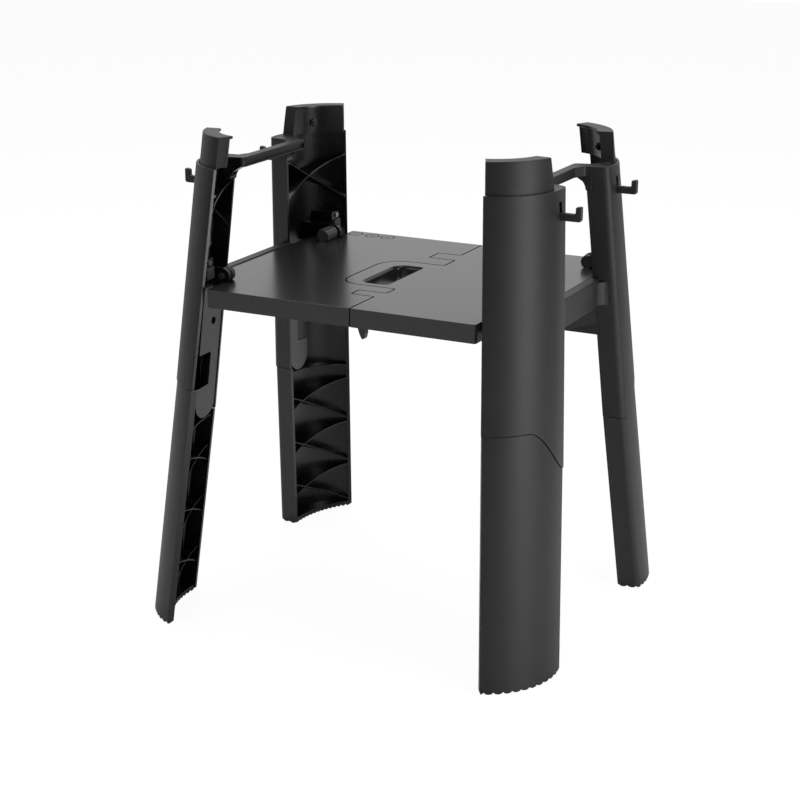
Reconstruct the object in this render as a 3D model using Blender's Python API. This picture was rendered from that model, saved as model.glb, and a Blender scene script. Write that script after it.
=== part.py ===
"""Folding four-legged stand: two moulded side frames, a shelf in two hinged halves, plug-in lower legs.

Units are metres, +Z is up, the floor is z = 0, the front is -Y. The origin is on the floor under the shelf's
middle. Every leg is described once, as the back right one (+X, +Y), and the others are its mirror images.
"""
import math

import bmesh
import bpy
from mathutils import Vector

# ---- heights -------------------------------------------------------------------------------------
SHELF_TOP = 0.4829          # top face of the shelf
RIM = 0.6444                # top edge of the upper legs
CAP_HEIGHT = 0.0426         # top caps above the rim
SEAM_AT_FLANGE = 0.276      # lower edge of the upper leg on the flange side
SEAM_AT_EDGE = 0.340        # and on the free edge side, joined by an S-shaped step

# ---- leg section on the floor (plan) -------------------------------------------------------------
FLANGE_END = Vector((0.2789, 0.1465))
CORNER = Vector((0.3099, 0.1511))
FREE_EDGE = Vector((0.2448, 0.2764))
LIP = Vector((-0.0058, -0.0084))   # the free edge turns inwards by this much
BULGE = 0.0262              # height of the arc over the chord from CORNER to FREE_EDGE
CORNER_ROUND = 0.008
SPLAY = Vector((-0.0678, -0.1395))  # sideways run per metre of height
FLANGE_TAPER = Vector((0.0014, 0.0120))  # extra run of the flange between seam and rim
UPPER_WALL = 0.004
LOWER_INSET = 0.0012        # the lower leg's face lies this far inside the upper leg's face
LOWER_WALL = 0.0053
TENON_WALL = 0.0035
TENON_START = 0.0075        # the tenon leaves this much of the flange free for the cover plate
TENON_TOP = 0.375
TENON_BOTTOM = 0.262
FIT = 0.0004                # running clearance between pieces that touch
SEAM_GAP = 0.0008

# ---- ribs inside the legs ------------------------------------------------------------------------
RIB = 0.0026
RIB_PITCH = 0.0775
RIB_SETS = 3
RIB_STEPS = 6
COLLAR = (0.268, 0.256)             # heights of a rib at its flange end and at its free-edge end
FIRST_CURVED = (0.197, 0.234)
FIRST_STRAIGHT = (0.225, 0.162)
UPPER_CURVED = (0.541, 0.608)
UPPER_STRAIGHT = (0.609, 0.540)
CURVE_POWER = 0.65

# ---- sole ----------------------------------------------------------------------------------------
TEETH = 12
TOOTH_DEPTH = 0.0026
SOLE_TOP = 0.008

# ---- side frame ----------------------------------------------------------------------------------
BAR_INNER = 0.2140          # inner face of the top crossbar
BAR_WIDTH = 0.0145
BAR_HEIGHT = 0.0140
BAR_STRAIGHT = 0.0860       # half length of the crossbar's straight inner face
RAIL_INNER = 0.2422         # lower rail beside the shelf
RAIL_WIDTH = 0.0145
RAIL_HEIGHT = 0.0400
RAIL_LIP = 0.0012           # the rail stands this much above the shelf
WEB_WALL = 0.0040           # small web under the rail on the back legs
WEB_REACH = 0.0480
WEB_BOTTOM = 0.4010
WEB_TOP = 0.4380
TONGUE_WIDTH = 0.0520       # flat cover plate inside the upper leg, round at its lower end
TONGUE_WALL = 0.0030
TONGUE_BOTTOM = 0.2690
TONGUE_TOP = 0.4680
TONGUE_HOLE = (0.4020, 0.0055)      # height and radius
TONGUE_NOTCH = (0.3160, 0.3660)     # the plate is cut back between these heights
TONGUE_NOTCH_WIDTH = 0.0300

# ---- shelf ---------------------------------------------------------------------------------------
SHELF_DEPTH = 0.4200
SHELF_FRONT = 0.2030        # half width at the front edge
SHELF_SIDE = 0.2405         # half width beside the rails
SHELF_THICK = 0.0257
SHELF_SKIN = 0.0035
SHELF_CENTRE = 0.0040       # X of the centre hinge's axis
HALF_SPAN = 0.2110          # from the centre hinge's axis to either frame pivot
HINGE_RISE = 0.0045         # centre hinge's axis above the shelf's underside
SEAM_X = 0.0198             # straight stretches of the joint between the halves
TAB_LEFT = -0.0158
TAB_RIGHT = 0.0262
TONGUE_X = -0.0640          # tip of the handle tongue
SHELF_SEAM = 0.0012
HINGE_PIN = 0.0022
HANDLE_HOLE = (-0.0345, 0.0040, -0.0740, 0.0370)   # left, right, front, back
HANDLE_BEVEL = 0.0060

# ---- corner pivots -------------------------------------------------------------------------------
TOP_PLATE_END = 0.25        # share of the arc where the plate on top of the leg ends, short of the cap
PIVOT_RISE = 0.0085         # pivot axis above the shelf top
BARREL = 0.0100
BARREL_Y = (0.1200, 0.1520)
BARREL_SHORT = 0.1430       # start of every barrel but the back left one
LUG_Y = (0.1560, 0.1630)
LUG = 0.0110
PIVOT_PIN = 0.0030
PIVOT_PIN_Y = (0.1225, 0.1665)
SLOT = 0.0135               # the shelf's slot for the lug starts this far inside the pivot

# ---- lock buttons --------------------------------------------------------------------------------
BOSS_Y = (0.1690, 0.1930)
BOSS_X = 0.2165
BOSS_Z = (0.4875, 0.5180)
POCKET = 0.0100
BUTTON_Y = (0.1715, 0.1905)
BUTTON_Z = (0.4895, 0.5060)
BUTTON_DEPTH = 0.0090
BUTTON_PROUD = 0.0030
SPRING_LENGTH = 0.0050
SPRING_RADIUS = 0.0022
SPRING_WIRE = 0.0005

# ---- caps, hooks, lever --------------------------------------------------------------------------
CAP_INSET = 0.0035
CAP_WIDTH = 0.0245
CAP_SHARE = 0.24            # the cap starts this far along the arc from the corner
CAP_WALL = 0.0040
CAP_SKIRT = 0.0200
HOOK_Y = 0.1020
HOOK_Z = 0.6100             # middle of the hook's arm
HOOK_ARM = 0.0100
HOOK_WIDTH = 0.0070
HOOK_REACH = 0.0290
HOOK_TIP = (0.0080, 0.0195)
HOOK_SLOT = 0.0140
LEVER_Y = -0.1900
LEVER_AXIS = (0.0500, 0.4610)
LEVER_LENGTH = 0.0240
LEVER_DROP = 0.0235
LEVER_WIDTH = 0.0100
LEVER_RECESS = 0.0185       # depth of the left half's recess, which takes the lever's tip when folded

LEGS = {"front_left": (-1, -1), "back_left": (-1, 1), "front_right": (1, -1), "back_right": (1, 1)}
SIDES = {"left": -1, "right": 1}
PLASTIC = ("matte_black", (0.020, 0.020, 0.021), 0.45, 0.0)
GLOSS = ("gloss_black", (0.012, 0.012, 0.013), 0.22, 0.0)
STEEL = ("steel", (0.62, 0.62, 0.64), 0.32, 1.0)

for old in list(bpy.data.objects):
    bpy.data.objects.remove(old)


# ---- tools ---------------------------------------------------------------------------------------
def material(finish):
    """Returns the Principled material of a finish, made on first use."""
    name, colour, roughness, metallic = finish
    if name in bpy.data.materials:
        return bpy.data.materials[name]
    made = bpy.data.materials.new(name)
    made.use_nodes = True
    shader = made.node_tree.nodes["Principled BSDF"]
    shader.inputs["Base Color"].default_value = (*colour, 1.0)
    shader.inputs["Roughness"].default_value = roughness
    shader.inputs["Metallic"].default_value = metallic
    return made


def solid(name, points, faces, finish=PLASTIC):
    """Makes an object from points and faces, with its faces turned outwards."""
    bm = bmesh.new()
    corners = [bm.verts.new(p) for p in points]
    for face in faces:
        bm.faces.new([corners[i] for i in face])
    bmesh.ops.recalc_face_normals(bm, faces=bm.faces)
    bmesh.ops.triangulate(bm, faces=bm.faces)
    mesh = bpy.data.meshes.new(name)
    bm.to_mesh(mesh)
    bm.free()
    mesh.materials.append(material(finish))
    made = bpy.data.objects.new(name, mesh)
    bpy.context.scene.collection.objects.link(made)
    return made


def loft(name, rings, finish=PLASTIC):
    """Joins equal closed rings of points into one closed solid."""
    count = len(rings[0])
    points = [p for ring in rings for p in ring]
    faces = [list(range(count))[::-1], list(range(count * (len(rings) - 1), count * len(rings)))]
    for r in range(len(rings) - 1):
        for i in range(count):
            j = (i + 1) % count
            faces.append([r * count + i, r * count + j, (r + 1) * count + j, (r + 1) * count + i])
    return solid(name, points, faces, finish)


def prism(name, outline, axis, low, high, finish=PLASTIC):
    """Pushes a flat outline along X, Y or Z. The outline is in YZ, XZ or XY."""
    def at(p, level):
        return {"X": (level, p[0], p[1]), "Y": (p[0], level, p[1]), "Z": (p[0], p[1], level)}[axis]
    return loft(name, [[at(p, level) for p in outline] for level in (low, high)], finish)


def box(name, x, y, z, finish=PLASTIC):
    """A box between sorted limits."""
    (x0, x1), (y0, y1) = sorted(x), sorted(y)
    return prism(name, [(x0, y0), (x1, y0), (x1, y1), (x0, y1)], "Z", z[0], z[1], finish)


def round_bar(name, start, end, radius, sides=20, finish=PLASTIC):
    """A cylinder from start to end."""
    start, end = Vector(start), Vector(end)
    along = (end - start).normalized()
    across = along.orthogonal().normalized()
    beside = along.cross(across)
    turns = [2 * math.pi * k / sides for k in range(sides)]
    rings = [[c + radius * (math.cos(t) * across + math.sin(t) * beside) for t in turns] for c in (start, end)]
    return loft(name, rings, finish)


def combine(target, tools, operation):
    """Applies a Boolean with each tool in turn and removes the tools."""
    for tool in tools:
        cut = target.modifiers.new("cut", "BOOLEAN")
        cut.operation = operation
        cut.solver = "MANIFOLD"  # the thin crossing ribs need it
        cut.object = tool
        graph = bpy.context.evaluated_depsgraph_get()
        mesh = bpy.data.meshes.new_from_object(target.evaluated_get(graph))
        target.modifiers.clear()
        before = target.data
        target.data = mesh
        bpy.data.meshes.remove(before)
        bpy.data.objects.remove(tool)


def turn_to(tool, spot, direction):
    """Moves a tool to a spot and turns its X axis to a direction."""
    tool.rotation_mode = "QUATERNION"
    tool.rotation_quaternion = Vector((1, 0, 0)).rotation_difference(direction)
    tool.location = spot
    bpy.context.view_layer.update()


def build(name, parts, cuts=(), finish=PLASTIC, axis=None):
    """Unites the parts, takes the cuts away and names the result. A moving piece's origin goes on its axis."""
    whole = parts[0]
    if parts[1:]:
        combine(whole, list(parts[1:]), "UNION")
    if cuts:
        combine(whole, list(cuts), "DIFFERENCE")
    bm = bmesh.new()
    bm.from_mesh(whole.data)
    bmesh.ops.remove_doubles(bm, verts=bm.verts, dist=0.000002)
    bmesh.ops.dissolve_degenerate(bm, edges=bm.edges, dist=0.000002)
    bmesh.ops.dissolve_limit(bm, angle_limit=math.radians(0.05), verts=bm.verts, edges=bm.edges)
    bmesh.ops.triangulate(bm, faces=bm.faces)
    origin = Vector(axis or (0, 0, 0))
    bmesh.ops.translate(bm, verts=bm.verts, vec=-origin)
    bm.to_mesh(whole.data)
    bm.free()
    whole.location = origin
    whole.name = name
    whole.data.name = name
    whole.data.materials.clear()
    whole.data.materials.append(material(finish))
    whole.data.shade_smooth()
    whole.data.set_sharp_from_angle(angle=math.radians(32))
    return whole


# ---- leg section ---------------------------------------------------------------------------------
def arc_points(count):
    """Points on the outer arc from CORNER to FREE_EDGE."""
    chord = FREE_EDGE - CORNER
    radius = (chord.length ** 2 / 4 + BULGE ** 2) / (2 * BULGE)
    outwards = Vector((chord.y, -chord.x)).normalized()
    middle = (CORNER + FREE_EDGE) / 2 - outwards * (radius - BULGE)
    half = math.asin(chord.length / 2 / radius)
    base = math.atan2(outwards.y, outwards.x)
    angles = [base - half + 2 * half * k / (count - 1) for k in range(count)]
    return [middle + radius * Vector((math.cos(a), math.sin(a))) for a in angles]


def outline(steps=9, corner_steps=2):
    """Outer path of the section as (point, share): share is -1..0 on the flange, 0..1 on the arc, 1.. on the lip."""
    arc = arc_points(200)
    after = next(p for p in arc if (p - CORNER).length > CORNER_ROUND)
    before = CORNER + (FLANGE_END - CORNER).normalized() * CORNER_ROUND
    path = [(FLANGE_END, -1.0)]
    for k in range(corner_steps + 1):
        t = k / corner_steps
        point = before * (1 - t) ** 2 + CORNER * 2 * t * (1 - t) + after * t ** 2
        path.append((point, -0.25 + 0.25 * t))
    for k, point in enumerate(arc_points(steps)):
        if (point - CORNER).length > CORNER_ROUND * 1.3:
            path.append((point, k / (steps - 1)))
    path.append((FREE_EDGE + LIP, 1.2))
    return path


def inset(points, depth):
    """The open path moved inwards, to its left, by depth."""
    moved = []
    for i, p in enumerate(points):
        dirs = []
        if i > 0:
            dirs.append((p - points[i - 1]).normalized())
        if i < len(points) - 1:
            dirs.append((points[i + 1] - p).normalized())
        normals = [Vector((-d.y, d.x)) for d in dirs]
        mean = sum(normals, Vector((0, 0))).normalized()
        moved.append(p + mean * depth / max(mean.dot(normals[0]), 0.3))
    return moved


def place(point, height, share, leg):
    """Puts a section point of the back right leg at a height and mirrors it to the leg."""
    flange = 1.0 if share < 0 else max(0.0, 1.0 - share)
    rise = max(0.0, height - SEAM_AT_FLANGE) / (RIM - SEAM_AT_FLANGE)
    spot = point + SPLAY * height + FLANGE_TAPER * flange * rise
    return Vector((spot.x * leg[0], spot.y * leg[1], height))


def seam_height(share):
    """Height of the joint between upper and lower leg along the section."""
    t = min(1.0, max(0.0, (share - 0.03) / 0.55))
    return SEAM_AT_FLANGE + (SEAM_AT_EDGE - SEAM_AT_FLANGE) * t * t * (3 - 2 * t)


def shell(name, leg, depth, wall, bottom, top, path=None):
    """A wall that follows the section between two depths; bottom and top are heights or functions of share."""
    path = path or outline()
    points = [p for p, _ in path]
    outer = inset(points, depth)
    inner = inset(points, depth + wall)
    rings = []
    for (_, share), o, n in zip(path, outer, inner):
        low = bottom(share) if callable(bottom) else bottom
        high = top(share) if callable(top) else top
        rings.append([place(o, low, share, leg), place(n, low, share, leg),
                      place(n, high, share, leg), place(o, high, share, leg)])
    return loft(name, rings)


def rib_edge(t):
    """Free edge of the ribs in plan, from the flange (t = 0) to the lip (t = 1)."""
    inward = Vector((-LIP.y, LIP.x)).normalized() * -1
    points = [FLANGE_END + Vector((0.0008, 0.0052)), FLANGE_END + Vector((0.0035, 0.0560)),
              FREE_EDGE + Vector((0.0210, -0.0400)), FREE_EDGE + LIP + inward * -0.0036]
    weights = [(1 - t) ** 3, 3 * t * (1 - t) ** 2, 3 * t * t * (1 - t), t ** 3]
    return sum((p * w for p, w in zip(points, weights)), Vector((0, 0)))


def rib_stations(steps, trim):
    """Pairs of root and free edge points with their share. The trim keeps crossing plates off one another's edges."""
    path = outline()
    roots = inset([p for p, _ in path], 0.0022 + 0.05 * trim)
    lengths = [0.0]
    for a, b in zip(roots, roots[1:]):
        lengths.append(lengths[-1] + (b - a).length)
    stations = []
    for k in range(steps + 1):
        t = trim + (1 - 2 * trim) * k / steps
        goal = t * lengths[-1]
        i = next(n for n in range(1, len(lengths)) if lengths[n] >= goal - 1e-9)
        part = (goal - lengths[i - 1]) / (lengths[i] - lengths[i - 1])
        root = roots[i - 1].lerp(roots[i], part)
        share = path[i - 1][1] * (1 - part) + path[i][1] * part
        edge = rib_edge(t)
        edge = edge + (root - edge).normalized() * (0.04 * trim)
        stations.append((t, root, edge, share))
    return stations


def rib(name, leg, ends, power=1.0, trim=0.014):
    """One thin rib from the flange to the lip; ends are its heights, power bends it."""
    rings = []
    for t, root, edge, share in rib_stations(RIB_STEPS, trim):
        level = ends[0] + (ends[1] - ends[0]) * t ** power
        low, high = level - RIB / 2, level + RIB / 2
        rings.append([place(root, low, share, leg), place(edge, low, share, leg),
                      place(edge, high, share, leg), place(root, high, share, leg)])
    return loft(name, rings)


def sole(name, leg):
    """The toothed plate that closes the foot."""
    rings = []
    for k, (t, root, edge, share) in enumerate(rib_stations(2 * TEETH, 0.006)):
        low = TOOTH_DEPTH if k % 2 == 0 else 0.0
        outer = root
        rings.append([place(outer, low, share, leg), place(edge, low, share, leg),
                      place(edge, SOLE_TOP, share, leg), place(outer, SOLE_TOP, share, leg)])
    return loft(name, rings)


# ---- lower legs ----------------------------------------------------------------------------------
SCREW_SHARE = 0.50
SCREW_HEIGHT = 0.352


def wall_frame(leg, share, height, depth=0.0):
    """A point at a depth behind the arc's face, and the direction straight through the wall into the hollow."""
    arc = arc_points(101)
    k = round(share * 100)
    along = (arc[min(k + 1, 100)] - arc[max(k - 1, 0)]).normalized()
    inward = Vector((-along.y, along.x))
    spot = place(arc[k] + inward * depth, height, share, leg)
    through = Vector((along.x, along.y, 0)).cross(Vector((SPLAY.x, SPLAY.y, 1))).normalized()
    if through.xy.dot(inward) < 0:
        through.negate()
    return spot, Vector((through.x * leg[0], through.y * leg[1], through.z))


def leg_screw_parts(leg):
    """Outer end, seat of the head and direction of the screw that holds a tenon in the upper leg."""
    tenon_face = UPPER_WALL + FIT + TENON_WALL
    seat, inward = wall_frame(leg, SCREW_SHARE, SCREW_HEIGHT, tenon_face + FIT)
    return seat - inward * (tenon_face - 0.0020), seat, inward


def lower_leg(name, leg):
    tenon_path = [(p, share) for p, share in outline() if share <= 0.90]
    tenon_path[0] = (FLANGE_END + (CORNER - FLANGE_END).normalized() * TENON_START, -1.0)
    skin = shell(name, leg, LOWER_INSET, LOWER_WALL, 0.0028, lambda s: seam_height(s) - SEAM_GAP)
    tenon = shell("tenon", leg, UPPER_WALL + FIT, TENON_WALL, TENON_BOTTOM, TENON_TOP, tenon_path)
    parts = [skin, tenon, sole("sole", leg), rib("collar", leg, COLLAR, 1.0, 0.018)]
    for k in range(RIB_SETS):
        drop = k * RIB_PITCH
        floor_limit = SOLE_TOP + RIB
        parts.append(rib("curved", leg, [h - drop for h in FIRST_CURVED], CURVE_POWER, 0.010))
        parts.append(rib("straight", leg, [max(h - drop, floor_limit) for h in FIRST_STRAIGHT]))
    start, face, inward = leg_screw_parts(leg)
    hole = round_bar("hole", start - inward * 0.010, face + inward * 0.010, 0.0017 + FIT, 12)
    return build("lower_leg_" + name, parts, [hole])


def leg_screw(name, leg):
    start, face, inward = leg_screw_parts(leg)
    shank = round_bar("shank", start + inward * 0.0003, face + inward * 0.001, 0.0017, 12)
    head = round_bar("head", face, face + inward * 0.0024, 0.0042, 16)
    cross = [box("slot", (-0.0005, 0.0005), (-0.003, 0.003), (-0.001, 0.001))]
    turn_to(cross[0], face + inward * 0.0026, inward)
    return build("leg_screw_" + name, [shank, head], cross, STEEL)


# ---- side frames ---------------------------------------------------------------------------------
def pivot_x(side):
    return SHELF_CENTRE + side * HALF_SPAN


def pivot_z():
    return SHELF_TOP + PIVOT_RISE


def scaled(points, side, turn=1):
    """Mirrors plan points to a side and an end."""
    return [(x * side, y * turn) for x, y in points]


def flange_at(height, depth=0.0):
    """Plan place of the flange's end, back right, at a height."""
    spot = place(FLANGE_END + Vector((0, depth)), height, -1.0, (1, 1))
    return spot.x, spot.y


def crossbar(side):
    """Top crossbar with its two ends turned out to the legs, and the gussets under them."""
    outer = BAR_INNER + BAR_WIDTH
    end_x, end_y = flange_at(RIM)
    quarter = [(BAR_INNER, BAR_STRAIGHT), (end_x - 0.0010, end_y + 0.0220), (end_x + 0.0120, end_y + 0.0220),
               (end_x + 0.0120, end_y + 0.0020), (end_x + 0.0002, end_y + 0.0008), (outer, end_y - 0.0180)]
    plan = quarter + [(x, -y) for x, y in quarter[::-1]]
    top = RIM - 0.0003
    bars = [prism("bar", scaled(plan, side), "Z", top - BAR_HEIGHT, top)]
    low = top - BAR_HEIGHT
    for turn in (-1, 1):
        wedge = [(end_x - 0.0175, low + 0.001), (end_x - 0.0160, low - 0.0004), (end_x - 0.0030, low - 0.0080),
                 (end_x + 0.0002, low - 0.0140), (end_x + 0.0012, low - 0.0200), (end_x + 0.0100, low - 0.0200),
                 (end_x + 0.0100, low + 0.001)]
        wedge = [(x * side, z) for x, z in wedge]
        bars.append(prism("gusset", wedge, "Y", turn * (end_y + 0.0012), turn * (end_y + 0.0190)))
    return bars


def top_plate(leg):
    """Plate that closes the top of the upper leg between its flange and the cap."""
    path = [(p, share) for p, share in outline() if share <= TOP_PLATE_END]
    points = [p for p, _ in path]
    edge = list(zip(inset(points, 0.0020), [share for _, share in path]))
    edge += [(inset(points, 0.0240)[-1], path[-1][1]), (inset(points, 0.0145)[0], -1.0)]
    return loft("plate", [[place(p, height, share, leg) for p, share in edge]
                          for height in (RIM - 0.0027, RIM - 0.0002)])


def lower_rail(side):
    """Rail beside the shelf, with a corner fillet against each leg."""
    outer = RAIL_INNER + RAIL_WIDTH
    top = SHELF_TOP + RAIL_LIP
    low = top - RAIL_HEIGHT
    _, reach = flange_at(top, 0.0030)
    parts = [box("rail", (side * RAIL_INNER, side * outer), (-reach, reach), (low, top))]
    for turn in (-1, 1):
        _, near = flange_at(low, 0.0012)
        fillet = [(outer - 0.002, near - 0.0200), (outer + 0.0030, near - 0.0085), (outer + 0.0130, near - 0.0010),
                  (outer + 0.0130, near + 0.0012), (outer - 0.002, near + 0.0012)]
        parts.append(prism("fillet", scaled(fillet, side, turn), "Z", low + 0.0030, top - 0.0040))
    return parts


def tongue(leg):
    """Flat plate on the line of the ribs' free edges, round at its lower end."""
    radius = TONGUE_WIDTH / 2
    turns = [math.pi + math.pi * k / 10 for k in range(11)]
    shape = [(radius + radius * math.cos(t), TONGUE_BOTTOM + radius + radius * math.sin(t)) for t in turns]
    shape += [(TONGUE_WIDTH, TONGUE_TOP), (0.0, TONGUE_TOP)]
    start = FLANGE_END + Vector((0.0006, 0.0032))

    flat = [[place(start + Vector((d, v)), z, -1.0, leg) for v, z in shape] for d in (0.0, TONGUE_WALL)]
    plate = loft("tongue", flat)
    height, radius = TONGUE_HOLE
    middle = place(start + Vector((0, TONGUE_WIDTH * 0.5)), height, -1.0, leg)
    hole = round_bar("hole", middle - Vector((0.01, 0, 0)), middle + Vector((0.01, 0, 0)), radius, 16)
    low, high = TONGUE_NOTCH
    near = place(start + Vector((0, TONGUE_WIDTH - TONGUE_NOTCH_WIDTH)), (low + high) / 2, -1.0, leg)
    notch = box("notch", (near.x - 0.012, near.x + 0.012), (near.y, near.y + leg[1] * 0.060), (low, high))
    return plate, [hole, notch]


def wall_x(y, height):
    """Distance out to the leg's wall, 3 mm behind its face, at a distance y from the middle."""
    share = min(range(101), key=lambda k: abs(wall_frame((1, 1), k / 100, height, 0.003)[0].y - y)) / 100
    return wall_frame((1, 1), share, height, 0.003)[0].x


def lug(side, turn):
    """Ear on the leg's wall that carries a pivot pin."""
    x, z = pivot_x(side), pivot_z()
    turns = [math.radians(a) for a in range(90, 271, 20)]
    ear = [(x + side * LUG * math.cos(a), z + LUG * math.sin(a)) for a in turns]
    reach = min(wall_x(y, z + LUG) for y in LUG_Y)
    ear += [(side * reach, z - LUG - 0.010), (side * reach, z + LUG)]
    return prism("lug", ear, "Y", turn * LUG_Y[0], turn * LUG_Y[1])


def button_boss(side, turn):
    """Block on the leg's wall with the pocket of the lock button and the hole of its screw."""
    reach = []
    for y in BOSS_Y:
        share = min(range(101), key=lambda k: abs(wall_frame((1, 1), k / 100, BOSS_Z[1], 0.003)[0].y - y)) / 100
        reach.append(wall_frame((1, 1), share, BOSS_Z[1], 0.003)[0].x)
    plan = [(BOSS_X, BOSS_Y[0]), (reach[0], BOSS_Y[0]), (reach[1], BOSS_Y[1]), (BOSS_X, BOSS_Y[1])]
    block = prism("boss", scaled(plan, side, turn), "Z", *BOSS_Z)
    pocket = box("pocket", (side * (BOSS_X - 0.005), side * (BOSS_X + POCKET)),
                 (turn * (BUTTON_Y[0] - FIT), turn * (BUTTON_Y[1] + FIT)), (BUTTON_Z[0] - FIT, BUTTON_Z[1] + FIT))
    spot = Vector((side * BOSS_X, turn * sum(BOSS_Y) / 2, (BUTTON_Z[1] + BOSS_Z[1]) / 2 + 0.0005))
    hole = round_bar("hole", spot - Vector((side * 0.004, 0, 0)), spot + Vector((side * 0.0085, 0, 0)),
                     0.0012 + FIT, 10)
    return block, [pocket, hole]


def hook_spot(side, turn):
    """Where a tool hook leaves the leg's wall, and the wall's outer face there."""
    share = min(range(101), key=lambda k: abs(wall_frame((1, 1), k / 100, HOOK_Z)[0].y - HOOK_Y)) / 100
    face, _ = wall_frame((1, 1), share, HOOK_Z)
    return Vector((side * face.x, turn * HOOK_Y, HOOK_Z))


def side_frame(name, side):
    parts, cuts = [], []
    for turn in (-1, 1):
        leg = (side, turn)
        parts.append(shell("leg", leg, 0.0, UPPER_WALL, seam_height, RIM))
        parts.append(top_plate(leg))
    parts += crossbar(side) + lower_rail(side)
    for turn in (-1, 1):
        leg = (side, turn)
        parts.append(rib("curved", leg, UPPER_CURVED, CURVE_POWER, 0.010))
        parts.append(rib("straight", leg, UPPER_STRAIGHT))
        plate, openings = tongue(leg)
        combine(plate, openings, "DIFFERENCE")
        parts.append(plate)
        parts.append(lug(side, turn))
        block, holes = button_boss(side, turn)
        parts.append(block)
        cuts += holes
        x, z = pivot_x(side), pivot_z()
        cuts.append(round_bar("bore", (x, turn * (LUG_Y[0] - 0.004), z), (x, turn * (LUG_Y[1] + 0.004), z),
                              PIVOT_PIN + FIT))
        spot = hook_spot(side, turn)
        cuts.append(box("slot", (spot.x - side * 0.010, spot.x + side * 0.006),
                        (spot.y - HOOK_WIDTH / 2 - FIT, spot.y + HOOK_WIDTH / 2 + FIT),
                        (HOOK_Z - HOOK_ARM / 2 - FIT, HOOK_Z + HOOK_ARM / 2 + HOOK_SLOT)))
        start, face, inward = leg_screw_parts(leg)
        cuts.append(round_bar("hole", start, face + inward * 0.002, 0.0017 + FIT, 12))
    web_x, web_y = flange_at((WEB_TOP + WEB_BOTTOM) / 2, 0.0002)
    parts.append(box("web", (side * (web_x - WEB_REACH), side * (web_x + 0.0050)), (web_y, web_y + WEB_WALL),
                     (WEB_BOTTOM, WEB_TOP)))
    return build("side_frame_" + name, parts, cuts, axis=(pivot_x(side), 0, pivot_z()))


# ---- shelf halves --------------------------------------------------------------------------------
def seam_path(grow):
    """Plan of the joint between the halves, front to back, moved by grow towards +X on the left half's side."""
    front, back = -SHELF_DEPTH / 2, SHELF_DEPTH / 2
    mid = (HANDLE_HOLE[2] + HANDLE_HOLE[3]) / 2
    steps = [(SEAM_X, front), (SEAM_X, -0.1400), (TAB_LEFT, -0.1400), (TAB_LEFT, -0.1165), (TAB_RIGHT, -0.1165),
             (TAB_RIGHT, -0.0895), (-0.0360, -0.0895), (-0.0530, -0.0810), (-0.0610, -0.0640), (TONGUE_X, mid - 0.022),
             (TONGUE_X, mid + 0.022), (-0.0600, 0.0360), (-0.0490, 0.0530), (-0.0300, 0.0615), (TAB_RIGHT, 0.0640),
             (TAB_RIGHT, 0.1010), (TAB_LEFT, 0.1010), (TAB_LEFT, 0.1330), (SEAM_X, 0.1330), (SEAM_X, back)]
    return inset([Vector(p) for p in steps], -grow)


def shelf_side(side):
    """Outer edge of a shelf half from front to back, with the slots of the lugs."""
    depth = SHELF_DEPTH / 2
    slot_x = abs(pivot_x(side)) - SLOT
    y0, y1 = LUG_Y[0] - 0.0015, LUG_Y[1] + 0.0015
    quarter = [(SHELF_FRONT - 0.0025, depth), (SHELF_FRONT, depth - 0.0035), (SHELF_FRONT, y1), (slot_x, y1),
               (slot_x, y0), (SHELF_SIDE - 0.0130, y0 - 0.0010), (SHELF_SIDE, y0 - 0.0240)]
    return [(side * x, -y) for x, y in quarter] + [(side * x, y) for x, y in quarter[::-1]]


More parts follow.
